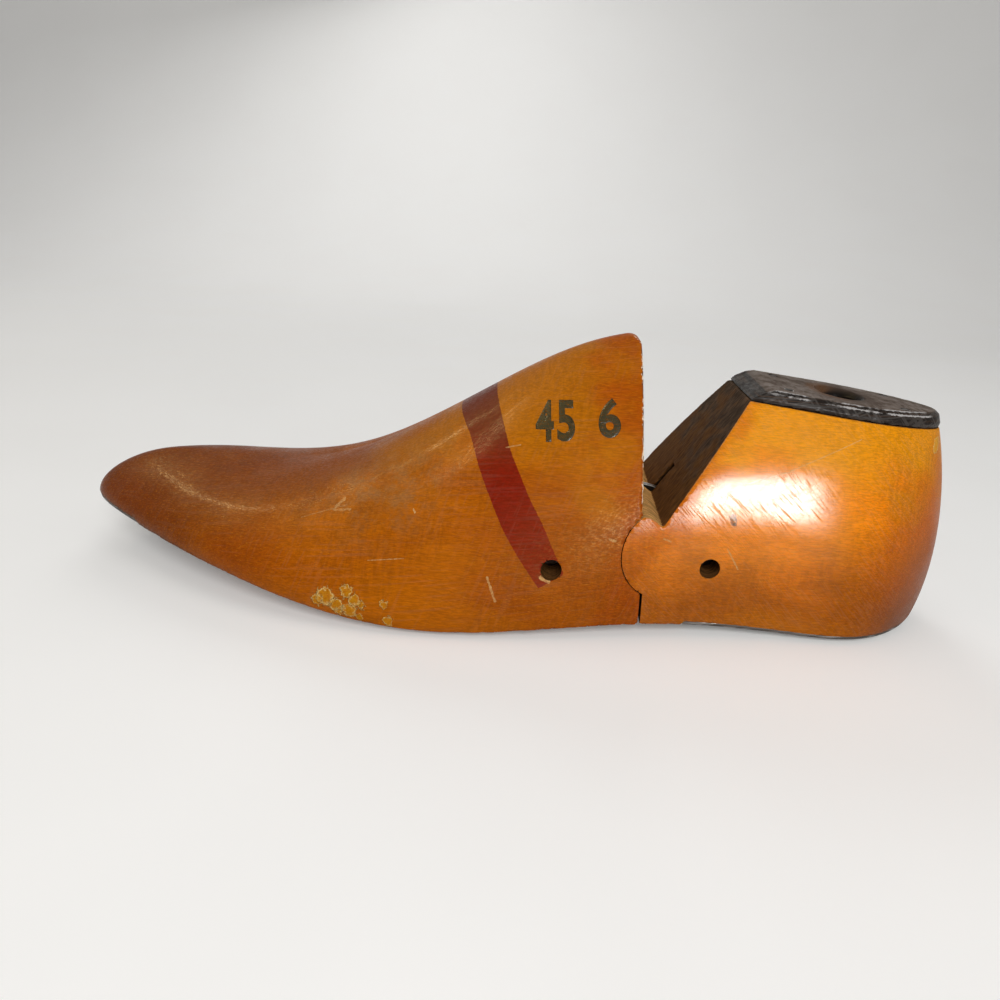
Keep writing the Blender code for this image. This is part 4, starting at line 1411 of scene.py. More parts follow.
@dataclass(frozen=True)
class WornBoard:
    """Near-black waxed leather board, grey and scuffed on top, with a painted highlight along its near top
    crease and painted shade in the jack-pin hole.
    """

    name: str = "worn_board"
    dark: Color = (0.014, 0.010, 0.008)
    grey: Color = (0.145, 0.110, 0.088)
    shade: Color = (0.072, 0.048, 0.035)
    brown: Color = (0.11, 0.050, 0.020)
    scuff: Color = (0.34, 0.30, 0.27)
    # Painted shade colour of the jack-pin hole.
    painted_hole_shade: Color = (0.006, 0.004, 0.003)
    shine: Color = (0.50, 0.48, 0.47)

    def material(self, effects: Effects) -> Material:
        """Build the material.

        Args:
            effects: Shader groups shared by the finishes.

        Returns:
            The material.
        """
        material, w, shader = new_material(self.name)
        place = w.place()
        upward = w.ramp(w.attribute("upward"), 0.90, 0.97)
        blotch = w.noise(place, 0.16, 5.0, 0.62)
        grainy = w.noise(place, (0.8, 2.4, 2.4), 4.0, 0.6)
        plies = w.noise(place, (0.05, 0.05, 2.2), 2.0)
        sides = w.mix(w.product(w.ramp(plies, 0.5, 0.7), 0.35), self.dark, self.brown)
        top = w.mix(w.ramp(blotch, 0.36, 0.62), self.grey, self.shade)
        top = w.mix(w.product(w.ramp(grainy, 0.52, 0.78), 0.35), top, self.scuff)
        lines = w.largest(*(w.group(effects.scratches, Place=place, Angle=math.radians(angle), Density=0.8,
                                    Shift=(angle, 0.0, 4.0)).outputs["Mask"] for angle in (3.0, 24.0, -50.0)))
        color = w.mix(w.product(lines, 0.25), w.mix(upward, sides, top), self.scuff)
        color = w.scale(color, w.ramp(w.product(lines, w.rest(upward)), 0.0, 1.0, 1.0, 0.6))
        wear = w.group(effects.wear, Place=place, Edge=w.attribute("edge"), Reach=0.42)
        # Painted highlight: a broken pale line along the upper creases on the near, outer side, standing in
        # for light that the crease catches.
        crest_shade_and_highlight = w.product(w.ramp(w.attribute("lift"), 1.7, 2.3), w.ramp(w.component(place, 1), -8.0, -10.0))
        rubbed = w.product(wear.outputs["Chips"], w.ramp(w.noise(place, 0.12, 4.0, 0.6), 0.40, 0.52), crest_shade_and_highlight)
        color = w.mix(w.product(rubbed, 0.8), color, self.shine)
        # Painted shade in the jack-pin hole: its far side takes the shade colour and the hole itself goes
        # near black, while the front of the mouth is worn brown.
        mouth = w.attribute("mouth")
        hole = MIDDLE_ALONG - JOINT.jack_along
        ahead = w.ramp(w.component(place, 0), hole + 2.0, hole - 5.0)
        worn = w.sum(mouth, w.ramp(w.noise(place, 0.6, 3.0), 0.3, 0.7, -1.0, 1.0))
        color = w.mix(w.product(w.ramp(worn, 6.5, 3.5), 0.8), color, w.mix(ahead, self.shade, self.brown))
        painted_hole_shade = w.ramp(mouth, w.ramp(ahead, 0.0, 1.0, 2.6, 1.0), 0.3)
        height = w.sum(w.product(blotch, 0.35), w.product(grainy, 0.10), w.product(lines, -0.05))
        w.fill(shader, {
            "Base Color": w.mix(painted_hole_shade, color, self.painted_hole_shade),
            "Roughness": w.ramp(w.sum(blotch, w.product(upward, 0.22)), 0.3, 0.9, 0.34, 0.78),
            "Coat Weight": w.ramp(upward, 0.0, 1.0, 0.08, 0.05),
            "Coat Roughness": 0.25,
            "Specular IOR Level": 0.12,
            "Normal": w.bump(height, 0.9),
        })
        return material


@dataclass(frozen=True)
class AgedSteel:
    """Steel with a dark skin, scratched bright in places and rusted in others."""

    name: str
    bright: Color = (0.42, 0.40, 0.38)
    dark: Color = (0.085, 0.075, 0.068)
    rust: Color = (0.16, 0.065, 0.025)
    polish: float = 0.05
    rust_amount: float = 0.4
    side_shade: float = 1.0
    roughness: float = 0.42

    def material(self, effects: Effects) -> Material:
        """Build the material.

        Args:
            effects: Shader groups shared by the finishes.

        Returns:
            The material.
        """
        material, w, shader = new_material(self.name)
        place = w.place()
        blotch = w.noise(place, 0.22, 5.0, 0.6)
        lines = w.group(effects.scratches, Place=place, Angle=math.radians(5.0), Density=1.6).outputs["Mask"]
        shine = w.ramp(blotch, 0.62 - self.polish * 0.4, 0.78 - self.polish * 0.3)
        color = w.mix(w.product(lines, 0.6), w.mix(shine, self.dark, self.bright), self.bright)
        rusty = w.product(w.ramp(w.noise(place, 0.5, 6.0, 0.65), 0.56, 0.68), self.rust_amount)
        sideways = w.math("ABSOLUTE", w.component(w.add("ShaderNodeNewGeometry").outputs["Normal"], 1))
        shaded = w.ramp(sideways, 0.5, 0.8, 1.0, self.side_shade)
        clean = w.ramp(blotch, 0.3, 0.8, self.roughness - 0.1, self.roughness + 0.2)
        w.fill(shader, {
            "Base Color": w.scale(w.mix(rusty, color, self.rust), shaded),
            "Metallic": w.rest(w.product(rusty, 0.8)),
            "Roughness": w.ramp(rusty, 0.0, 1.0, clean, 0.85),
            "Normal": w.bump(w.sum(w.product(blotch, 0.06), w.product(lines, -0.02)), 0.8),
        })
        return material


@dataclass(frozen=True)
class StampInk:
    """Olive-black stamping ink, thin and rubbed in places."""

    name: str = "stamp_ink"
    color: Color = (0.030, 0.026, 0.006)
    thin: Color = (0.10, 0.055, 0.006)

    def material(self, effects: Effects) -> Material:
        """Build the material.

        Args:
            effects: Shader groups shared by the finishes.

        Returns:
            The material.
        """
        material, w, shader = new_material(self.name)
        place = w.place()
        flecks = w.group(effects.grain, Place=place).outputs["Flecks"]
        patchy = w.noise(place, 1.3, 4.0, 0.7)
        w.fill(shader, {
            "Base Color": w.mix(w.product(flecks, 0.5), self.color, self.thin),
            "Alpha": w.product(w.ramp(patchy, 0.70, 0.50, 0.45, 0.93), w.ramp(flecks, 0.9, 1.0, 1.0, 0.8)),
            "Roughness": w.ramp(patchy, 0.3, 0.7, 0.32, 0.5),
            "Coat Weight": 0.3,
            "Coat Roughness": 0.18,
        })
        return material


# Pieces


def register(thing: Object, body: str, material: Material, slot: str,
             nodes: Sequence[str]) -> None:
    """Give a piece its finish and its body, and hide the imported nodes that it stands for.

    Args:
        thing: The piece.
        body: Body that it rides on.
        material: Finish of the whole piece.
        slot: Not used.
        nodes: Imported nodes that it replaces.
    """
    thing.data.materials.clear()
    thing.data.materials.append(material)
    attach(thing, body)
    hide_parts(*nodes)
    LOG.info("%s: %d faces, rides on %s", thing.name, len(thing.data.polygons), body)


def bottom_grid(back: float, front: float, inset: float, overhang: float = 0.0) -> Array:
    """Grid of bottom points between two stations.

    Args:
        back: Rear station.
        front: Front station.
        inset: How far the grid is drawn in from the feather line.
        overhang: How far it reaches past the feather line instead.

    Returns:
        Array of (row, column, 3) station points.
    """
    end, rows, columns = 0.4, 49, 25
    stations = (max(back, end), min(front, FORM.length - end))
    low, high = (math.acos(1 - 2 * a / FORM.length) for a in stations)
    grid = FORM.bottom(np.linspace(low, high, rows), np.linspace(-1, 1, columns))
    grid[:, 0, 1] += inset
    grid[:, -1, 1] -= inset
    grid[0, :, 0] += inset if back <= 0 else 0
    grid[-1, :, 0] -= inset if front >= FORM.length else 0
    if overhang:
        reach = np.array([0, overhang, 0])
        grid = np.concatenate([grid[:, :1] - reach, grid, grid[:, -1:] + reach], axis=1)
        beyond = np.array([overhang, 0, 0])
        grid = np.concatenate([grid[:1] - beyond, grid]) if back <= 0 else grid
        grid = np.concatenate([grid, grid[-1:] + beyond]) if front >= FORM.length else grid
    return grid


def slab(grid: Array, low: float, high: float) -> Shape:
    """Closed solid between two copies of a grid.

    Args:
        grid: Array of (row, column, 3) station points.
        low: How far the lower copy is moved up.
        high: How far the upper copy is moved up.

    Returns:
        The solid's points and faces.
    """
    rows, columns = grid.shape[:2]
    size = rows * columns
    index = np.arange(size).reshape(rows, columns)
    faces = []
    for i in range(rows - 1):
        for j in range(columns - 1):
            quad = (index[i, j], index[i, j + 1], index[i + 1, j + 1], index[i + 1, j])
            faces += [quad, tuple(size + k for k in reversed(quad))]
    rim = [*index[:, 0], *index[-1, 1:], *index[-2::-1, -1], *index[0, -2:0:-1]]
    faces += [(a, b, size + b, size + a) for a, b in zip(rim, rim[1:] + rim[:1])]
    flat = grid.reshape(-1, 3)
    return to_world(np.vstack([flat + [0, 0, low], flat + [0, 0, high]])), faces


def bottom_z(along: float, y: float) -> float:
    """Height of the bottom at one place.

    Args:
        along: Station of the place.
        y: Its distance from the middle plane.

    Returns:
        The height in millimetres.
    """
    angle = np.array([math.acos(1 - 2 * along / FORM.length)])
    outer, inner = FORM.feather(angle)[0, 1], FORM.feather(2 * math.pi - angle)[0, 1]
    share = 2 * (y - outer) / (inner - outer) - 1
    return float(FORM.bottom(angle, np.array([share]))[0, 0, 2])


@dataclass(frozen=True)
class SizeStripe:
    """Painted band that crosses the cone, by its two edges as (height, along)."""

    front: Stations = ((18.1, 135), (24.6, 139.9), (31.2, 144.8), (36.6, 148.4), (43.1, 152.2),
                       (48.6, 155.5), (54.1, 158.5), (59.7, 162), (63.2, 165.5), (72, 171.5))
    back: Stations = ((22.7, 127.3), (30.9, 131.8), (38.8, 136.2), (44.2, 139.8), (50.7, 143.6),
                      (55.7, 146.7), (61.9, 149.7), (69.8, 153.5), (80, 158.5))
    end: tuple[Point2, Point2] = ((135.0, 18.1), (127.3, 22.7))
    slant: float = 0.85
    widest: float = 20.0

    def inside(self, points: Array) -> Array:
        """Signed distance from the band's edges, positive inside it.

        Args:
            points: Model points in metres.

        Returns:
            Distances in millimetres.
        """
        along, z = MIDDLE_ALONG - points[:, 0] / MM, points[:, 2] / MM
        across = np.minimum(OpenCurve(self.front)(z) - along, along - OpenCurve(self.back)(z)) * self.slant
        (a0, z0), (a1, z1) = self.end
        run = math.hypot(a1 - a0, z1 - z0)
        above = ((z - z0) * (a0 - a1) + (along - a0) * (z1 - z0)) / run
        return np.clip(np.minimum(across, above), -self.widest, self.widest)


@dataclass
class WoodHalf:
    """One half of the last: sawn, bored, recessed and worn."""

    half: Half
    body: str
    finish: VarnishedMaple
    rough_plane: tuple[float, float, float]
    rough_amount: float
    rough_reach: float = 1.6

    def cuts(self) -> list[tuple[Shape, Cut]]:
        """Saw cuts, bores and plate recess of this half.

        Returns:
            Closed cutters, with what each one does.
        """
        reach = (-JOINT.reach, JOINT.reach)
        thin = (-JOINT.slot_width / 2, JOINT.slot_width / 2)
        deep = 8.0
        cuts = [(prism(JOINT.outline(self.half), *reach), Cut.KEEP_INSIDE)]
        if self.half is Half.FOREPART:
            back, front, top, pin = JOINT.knuckle[0], *JOINT.slot_front, JOINT.front_pin
            recess = bottom_grid(JOINT.toe_plate_back, FORM.length, 0.0, deep)
        else:
            back, front, top = JOINT.slot_back[0], JOINT.slot_front[0], JOINT.slot_back[1]
            pin = JOINT.back_pin
            recess = bottom_grid(0, JOINT.heel_plate_front, 0.0, deep)
            jack = upright((JOINT.jack_along, 0), [(JOINT.jack_radius, JOINT.jack_bottom),
                                                   (JOINT.jack_radius, JOINT.high)])
            cuts.append((jack, Cut.REMOVE))
        slot = [(back, JOINT.slot_bottom), (front, JOINT.slot_bottom), (front, top), (back, top)]
        cuts.append((prism(slot, *thin), Cut.REMOVE))
        cuts.append((prism(circle(pin, JOINT.bore_radius), *reach), Cut.REMOVE))
        cuts.append((slab(recess, -deep, JOINT.recess), Cut.REMOVE))
        return cuts

    def build(self, blank: Mesh, effects: Effects) -> Object:
        """Make the half out of the uncut last.

        Args:
            blank: Mesh of the uncut last.
            effects: Shader groups shared by the finishes.

        Returns:
            The finished piece.
        """
        name = self.half.value + "_wood"
        exact = carve(name, blank.copy(), self.cuts())
        uncut = surface_of(blank)

        def measure(points: Array) -> dict[str, Array]:
            """Depth below the uncut last, place in the painted band, and whether it is in the slot or the
            lower seam, where shade is painted.

            Args:
                points: Model points in metres.

            Returns:
                The numbers by name, the first two in millimetres.
            """
            depth = np.array([uncut.find_nearest(p)[3] for p in points]) / MM
            top = JOINT.cone_corner()[0][1]
            stripe = SizeStripe()
            inside = (stripe.inside(points) if self.half is Half.FOREPART
                      else np.full(len(points), -stripe.widest))
            along, y, z = MIDDLE_ALONG - points[:, 0] / MM, np.abs(points[:, 1]) / MM, points[:, 2] / MM
            sunk = JOINT.v_along(z) - along if self.half is Half.HEEL else along - JOINT.cone_along(z)
            # Faces in the slot and the lower seam, which the finish paints with shade.
            slot = (y < JOINT.slot_width / 2 + 0.15) & ((sunk > 0.4) | (z < JOINT.v_bottom[1]))
            bores = [np.hypot(along - pin[0], z - pin[1]) for pin in (JOINT.front_pin, JOINT.back_pin)]
            seam = (z < JOINT.v_bottom[1] - 1) & (np.min(bores, axis=0) > JOINT.bore_radius + 0.4)
            depth[(z > top - 0.4) & (self.half is Half.FOREPART)] = 0.0
            return {"depth": depth, "stripe": inside, "slot": (slot | seam).astype(float)}

        voxel = VOXELS[self.half]
        mesh = FineSurface(name, exact, voxel, calm_zone=self.calm_zone,
                           rough_zone=self.rough_zone).build(measure)
        thing = add_object(name, mesh)
        register(thing, self.body, self.finish.material(effects), "varnished_maple", [self.half.value])
        return thing

    def calm_zone(self, points: Array) -> Array:
        """How much each point belongs to the crisp seam, knuckle and bores.

        Args:
            points: Model points in metres.

        Returns:
            Shares from 0 to 1.
        """
        along, z = MIDDLE_ALONG - points[:, 0] / MM, points[:, 2] / MM
        knuckle = np.abs(np.hypot(along - JOINT.knuckle[0], z - JOINT.knuckle[1]) - JOINT.socket_radius)
        seam = np.abs(along - JOINT.seam_top[0]) + np.maximum(z - JOINT.seam_top[1], 0)
        pins = [np.hypot(along - pin[0], z - pin[1]) - JOINT.bore_radius
                for pin in (JOINT.front_pin, JOINT.back_pin)]
        nearest = np.min([knuckle, seam, *pins], axis=0)
        return 1 - smooth_step(nearest, 1.5, 3.0)

    def rough_zone(self, points: Array) -> Array:
        """How much each point belongs to the badly chipped edge of the saw cut above the knuckle.

        Args:
            points: Model points in metres.

        Returns:
            Shares from 0 to rough_amount.
        """
        across, rise, offset = self.rough_plane
        inward = (points[:, 0] * across + points[:, 2] * rise) / MM + offset
        above = smooth_step(points[:, 2] / MM, 41.0, 43.0)
        return (1 - smooth_step(inward, self.rough_reach, 2 * self.rough_reach)) * above * self.rough_amount


@dataclass(frozen=True)
class TopPiece:
    """Bevelled board on the heel part, with the worn mouth of the jack-pin hole."""

    gap: float = 0.3
    levels: tuple[tuple[float, float, float], ...] = ((0.0, 0.3, 0.3), (1.4, 0.1, 0.3), (3.9, 1.0, 2.4),
                                                      (4.9, 2.4, 4.2))
    points: int = 180
    reach: float = 110.0
    hole: float = 6.1
    mouth: float = 8.6
    bevel: float = 2.6
    nails: tuple[Point2, ...] = ((60, -10), (60, 10), (22, -9), (22, 9))
    nail_radius: float = 1.3
    voxel: float = 0.45 * MM
    worn_down: float = 0.27

    def outline(self) -> Array:
        """Where the walls meet the top of the heel part's wood.

        Returns:
            Array of (along, y) points, from the outer front round the heel to the inner front.
        """
        end = math.acos(1 - 2 * self.reach / FORM.length)
        wall = FORM.wall(np.linspace(end, -end, 241) % (2 * math.pi), np.linspace(0, 1, 600))
        return np.array([row[int(np.argmax(row[:, 2] > JOINT.cap_z(row[:, 0]))), :2] for row in wall])

    def ring(self, outline: Array, inset: float, front: float) -> Array:
        """Outline moved inward, cut at a front station and divided evenly.

        Args:
            outline: Open outline from the outer front to the inner front.
            inset: How far it is moved inward.
            front: Station of the straight front end.

        Returns:
            Array of (along, y) points.
        """
        heading = np.gradient(outline, axis=0)
        heading /= np.linalg.norm(heading, axis=1)[:, None]
        path = outline - np.stack([-heading[:, 1], heading[:, 0]], axis=1) * inset
        inside = np.nonzero(path[:, 0] < front)[0]
        ends = []
        for kept, lost in ((inside[0], inside[0] - 1), (inside[-1], inside[-1] + 1)):
            share = (front - path[kept, 0]) / (path[lost, 0] - path[kept, 0])
            ends.append(path[kept] + (path[lost] - path[kept]) * share)
        path = np.vstack([ends[0], path[inside[0]:inside[-1] + 1], ends[1]])
        run = np.concatenate([[0], np.cumsum(np.linalg.norm(np.diff(path, axis=0), axis=1))])
        at = np.linspace(0, run[-1], self.points)
        return np.stack([np.interp(at, run, path[:, 0]), np.interp(at, run, path[:, 1])], axis=1)

    def raised(self, along: float, y: float, height: float) -> float:
        """Height of a level at one place, less towards the worn outer side."""
        share = 1 - self.worn_down * float(smooth_step(np.array(-y), 2.0, 24.0))
        return JOINT.cap_z(along) + self.gap + height * share

    def top_z(self, along: float, y: float = 0.0) -> float:
        """Height of the board's face."""
        return self.raised(along, y, self.levels[-1][0])

    def build(self, effects: Effects) -> Object:
        """Make the board with its hole and nail holes.

        Args:
            effects: Shader groups shared by the finishes.

        Returns:
            The finished piece.
        """
        outline = self.outline()
        rings = []
        for height, inset, front_inset in self.levels:
            front = JOINT.v_along(JOINT.cap_front_z + self.gap + height) - front_inset
            rings.append([(a, y, self.raised(a, y, height)) for a, y in self.ring(outline, inset, front)])
        face = self.top_z(JOINT.jack_along)
        over, under = face + 3, face - 8
        profile = [(self.hole, under), (self.hole, face - self.bevel), (self.mouth, face), (self.mouth, over)]
        holes = [upright((JOINT.jack_along, 0), profile)]
        holes += [upright(place, [(self.nail_radius, under), (self.nail_radius, over)])
                  for place in self.nails]
        blank = to_mesh("top_piece_blank", stack(rings))
        exact = carve("top_piece_board", blank, [(hole, Cut.REMOVE) for hole in holes])
        voxel = self.voxel

        def measure(points: Array) -> dict[str, Array]:
            """Distance from the wall of the jack-pin hole, and height above the board's underside.

            Args:
                points: Model points in metres.

            Returns:
                The two measures by name, in millimetres.
            """
            across = np.hypot(points[:, 0] / MM - (MIDDLE_ALONG - JOINT.jack_along), points[:, 1] / MM)
            lift = points[:, 2] / MM - JOINT.cap_z(MIDDLE_ALONG - points[:, 0] / MM) - self.gap
            return {"mouth": across - self.hole, "lift": lift}

        mesh = FineSurface("top_piece_board", exact, voxel, crease=math.radians(18), softness=0.5,
                           chip_depth=0.3, chip_size=2.2, seed=11).build(measure)
        thing = add_object("top_piece_board", mesh)
        register(thing, "heel", WornBoard().material(effects), "worn_fibre", ["top_piece"])
        return thing


@dataclass(frozen=True)
class SolePlate:
    """Thin steel plate let into the bottom, with holes for its nails."""

    name: str
    node: str
    body: str
    back: float
    front: float
    nails: tuple[Point2, ...]
    inset: float = 0.5
    thickness: float = 1.0
    hole: float = 1.3
    edge: float = 0.22

    def build(self, finish: Material) -> Object:
        """Make the plate and round its edges.

        Args:
            finish: Steel.

        Returns:
            The finished piece.
        """
        grid = bottom_grid(self.back, self.front, self.inset)
        reach = 3.0
        holes = [upright(place, [(self.hole, bottom_z(*place) + end) for end in (-reach, reach)])
                 for place in self.nails]
        mesh = carve(self.name, to_mesh(self.name, slab(grid, 0.0, self.thickness)),
                     [(hole, Cut.REMOVE) for hole in holes])
        return finish_metal(self.name, mesh, self.edge, finish, self.body, "dull_steel", [self.node])


def finish_metal(name: str, mesh: Mesh, edge: float, finish: Material, body: str,
                 slot: str, nodes: Sequence[str]) -> Object:
    """Round a metal piece's edges and register it.

    Args:
        name: Name of the piece.
        mesh: Its crisp mesh.
        edge: Width of the rounding in millimetres.
        finish: Material.
        body: Body that it rides on.
        slot: Material slot of the record.
        nodes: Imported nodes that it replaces.

    Returns:
        The finished piece.
    """
    crisp = add_object(name + "_crisp", mesh)
    add_modifier(crisp, "BEVEL", width=edge * MM, segments=2, limit_method="ANGLE",
                 angle_limit=math.radians(40))
    worn = plain_mesh(name, crisp)
    worn.shade_smooth()
    worn.set_sharp_from_angle(angle=math.radians(45))
    thing = add_object(name, worn)
    register(thing, body, finish, slot, nodes)
    return thing


@dataclass(frozen=True)
class SpringLink:
    """The two bowed spring leaves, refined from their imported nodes."""

    edge: float = 0.18

    def build(self, finish: Material) -> list[Object]:
        """Merge, round and dress both leaves.

        Args:
            finish: Spring steel.

        Returns:
            The two pieces, the outer one first.
        """
        pieces = []
        for node in ("link_plate_outer", "link_plate_inner"):
            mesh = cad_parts[node].data.copy()
            with editing(mesh) as work:
                bmesh.ops.remove_doubles(work, verts=work.verts, dist=0.01 * MM)
                bmesh.ops.dissolve_limit(work, angle_limit=math.radians(1), verts=work.verts,
                                         edges=work.edges)
            name = node.replace("plate", "leaf")
            pieces.append(finish_metal(name, mesh, self.edge, finish, "link", "spring_steel", [node]))
        return pieces


@dataclass(frozen=True)
class Thimble:
    """Steel tube in the jack-pin hole."""

    outer: float = 6.7
    inner: float = 5.6
    ends: Point2 = (30.0, 71.4)
    sides: int = 96
    edge: float = 0.2

    def build(self, finish: Material) -> Object:
        """Turn the tube and register it.

        Args:
            finish: Steel.

        Returns:
            The finished piece.
        """
        place = (JOINT.jack_along, 0)
        low, high = self.ends
        rod = upright(place, [(self.outer, low), (self.outer, high)], self.sides)
        bore = upright(place, [(self.inner, low - 1), (self.inner, high + 1)], self.sides)
        mesh = carve("thimble_tube", to_mesh("thimble_tube", rod), [(bore, Cut.REMOVE)])
        return finish_metal("thimble_tube", mesh, self.edge, finish, "heel", "dull_steel", ["thimble"])


@dataclass(frozen=True)
class TurnedParts:
    """Equal round parts such as nails or pins, set at places by Geometry Nodes.

    The profile lists (share of the length, share of the radius) from the head's face inward.
    """

    name: str
    body: str
    nodes: tuple[str, ...]
    places: tuple[Point3, ...]
    tilt: Point3
    radius: float
    length: float
    profile: Stations
    slot: str = "dull_steel"
    sides: int = 32
    crease: float = math.radians(35)

    def tree(self, finish: Material) -> NodeTree:
        """Node tree with named inputs for radius, length and tilt.

        Args:
            finish: Material of the parts.

        Returns:
            The tree.
        """
        tree = bpy.data.node_groups.new(self.name, "GeometryNodeTree")
        w = Wiring(tree)
        tree.interface.new_socket("Places", in_out="INPUT", socket_type="NodeSocketGeometry")
        for key, value in (("Radius", self.radius * MM), ("Length", self.length * MM)):
            socket = tree.interface.new_socket(key, in_out="INPUT", socket_type="NodeSocketFloat")
            socket.default_value = value
        tree.interface.new_socket("Tilt", in_out="INPUT", socket_type="NodeSocketVector")
        tree.interface.new_socket("Parts", in_out="OUTPUT", socket_type="NodeSocketGeometry")
        given, result = tree.nodes.new("NodeGroupInput").outputs, tree.nodes.new("NodeGroupOutput")
        line = w.add("GeometryNodeCurvePrimitiveLine", {"End": (0.0, 0.0, -1.0)})
        stations = w.add("GeometryNodeResampleCurve", {"Curve": line.outputs[0], "Count": len(self.profile)})
        share = w.add("GeometryNodeSplineParameter").outputs["Factor"]
        keep = w.add("GeometryNodeCaptureAttribute", {"Geometry": stations.outputs[0]})
        keep.capture_items.new("FLOAT", "share")
        w.feed(keep.inputs["share"], share)
        held = keep.outputs["share"]
        depth = w.math("MULTIPLY", self.profile_curve(w, held, 0), given["Length"])
        drop = w.add("ShaderNodeCombineXYZ", {"Z": w.math("MULTIPLY", depth, -1.0)})
        shaft = w.add("GeometryNodeSetPosition", {"Geometry": keep.outputs["Geometry"],
                                                  "Position": drop.outputs[0]})
        ring = w.add("GeometryNodeCurvePrimitiveCircle", {"Resolution": self.sides,
                                                          "Radius": given["Radius"]})
        solid = w.add("GeometryNodeCurveToMesh", {"Curve": shaft.outputs[0], "Profile Curve": ring.outputs[0],
                                                  "Scale": self.profile_curve(w, held, 1), "Fill Caps": True})
        copies = w.add("GeometryNodeInstanceOnPoints", {
            "Points": given["Places"], "Instance": solid.outputs[0], "Rotation": given["Tilt"]})
        real = w.add("GeometryNodeRealizeInstances", {"Geometry": copies.outputs[0]})
        dressed = w.add("GeometryNodeSetMaterial", {"Geometry": real.outputs[0], "Material": finish})
        tree.links.new(dressed.outputs[0], result.inputs[0])
        return tree

    def profile_curve(self, w: Wiring, share: Socket, column: int) -> Socket:
        """One column of the profile as a curve over equal steps.

        Args:
            w: Wiring of the tree.
            share: Share of the way along the profile.
            column: Which of the profile's two numbers.

        Returns:
            That number.
        """
        node = w.add("ShaderNodeFloatCurve", {"Value": share})
        points = node.mapping.curves[0].points
        steps = len(self.profile) - 1
        for number, row in enumerate(self.profile):
            if number in (0, steps):
                point = points[0] if number == 0 else points[-1]
                point.location = (number / steps, row[column])
            else:
                point = points.new(number / steps, row[column])
            point.handle_type = "VECTOR"
        node.mapping.update()
        return node.outputs[0]

    def build(self, finish: Material) -> Object:
        """Set the parts at their places as one plain mesh.

        Args:
            finish: Material of the parts.

        Returns:
            The finished piece.
        """
        seats = bpy.data.meshes.new(self.name + "_places")
        seats.from_pydata(to_world(np.array(self.places, float)).tolist(), [], [])
        carrier = add_object(self.name + "_places", seats)
        modifier = add_modifier(carrier, "NODES", node_group=self.tree(finish))
        names = {item.name: item.identifier for item in modifier.node_group.interface.items_tree}
        for key, value in (("Radius", self.radius * MM), ("Length", self.length * MM), ("Tilt", self.tilt)):
            modifier[names[key]] = value
        mesh = plain_mesh(self.name, carrier)
        with editing(mesh) as work:
            bmesh.ops.recalc_face_normals(work, faces=work.faces)
        mesh.shade_smooth()
        mesh.set_sharp_from_angle(angle=self.crease)
        thing = add_object(self.name, mesh)
        register(thing, self.body, finish, self.slot, self.nodes)
        return thing


@dataclass(frozen=True)
class StampedNumber:
    """One figure stamped in ink on the cone's outer side.

    The corner is the lower left end of its baseline as seen from the outer side, in (along, z).
    """

    text: str
    corner: Point2
    height: float
    width: float
    turn: float
    body: str = "forepart"
    ink: float = 0.05
    bold: float = 0.03
    longest_edge: float = 0.08
    rounds: int = 4

    def build(self, carrier: Object, finish: Material) -> Object:
        """Lay the figure on the wood.

        Args:
            carrier: The wooden half that bears it.
            finish: Ink material.

        Returns:
            The finished piece.
        """
        curve = bpy.data.curves.new("figure_" + self.text, "FONT")
        curve.body = self.text
        curve.offset = self.bold
        curve.resolution_u = 8
        flat = plain_mesh("figure_flat", add_object("figure_" + self.text, curve))
        work = bmesh.new()
        work.from_mesh(flat)
        bmesh.ops.remove_doubles(work, verts=work.verts, dist=0.0001)
        bmesh.ops.triangulate(work, faces=work.faces)
        for _ in range(self.rounds):
            long_edges = [edge for edge in work.edges if edge.calc_length() > self.longest_edge]
            bmesh.ops.subdivide_edges(work, edges=long_edges, cuts=1)
            bmesh.ops.triangulate(work, faces=work.faces)
        low = np.min([v.co for v in work.verts], axis=0)
        size = np.ptp([v.co for v in work.verts], axis=0)
        wall = surface_of(carrier.data)
        cosine, sine = math.cos(self.turn), math.sin(self.turn)
        for vert in work.verts:
            across = (vert.co.x - low[0]) / size[0] * self.width
            rise = (vert.co.y - low[1]) / size[1] * self.height
            along = self.corner[0] - (across * cosine - rise * sine)
            z = self.corner[1] + across * sine + rise * cosine
            start = Vector(to_world(np.array([along, -JOINT.reach, z])))
            vert.co = wall.ray_cast(start, Vector((0, 1, 0)))[0]
        bmesh.ops.recalc_face_normals(work, faces=work.faces)
        mesh = bpy.data.meshes.new("stamped_" + self.text)
        work.to_mesh(mesh)
        work.free()
        sheet = add_object("stamped_sheet", mesh)
        add_modifier(sheet, "SOLIDIFY", thickness=self.ink * MM, offset=0.2)
        solid = plain_mesh("stamped_" + self.text, sheet)
        solid.shade_smooth()
        thing = add_object("stamped_figure_" + self.text, solid)
        register(thing, self.body, finish, "worn_fibre", [])
        return thing


# Assembly

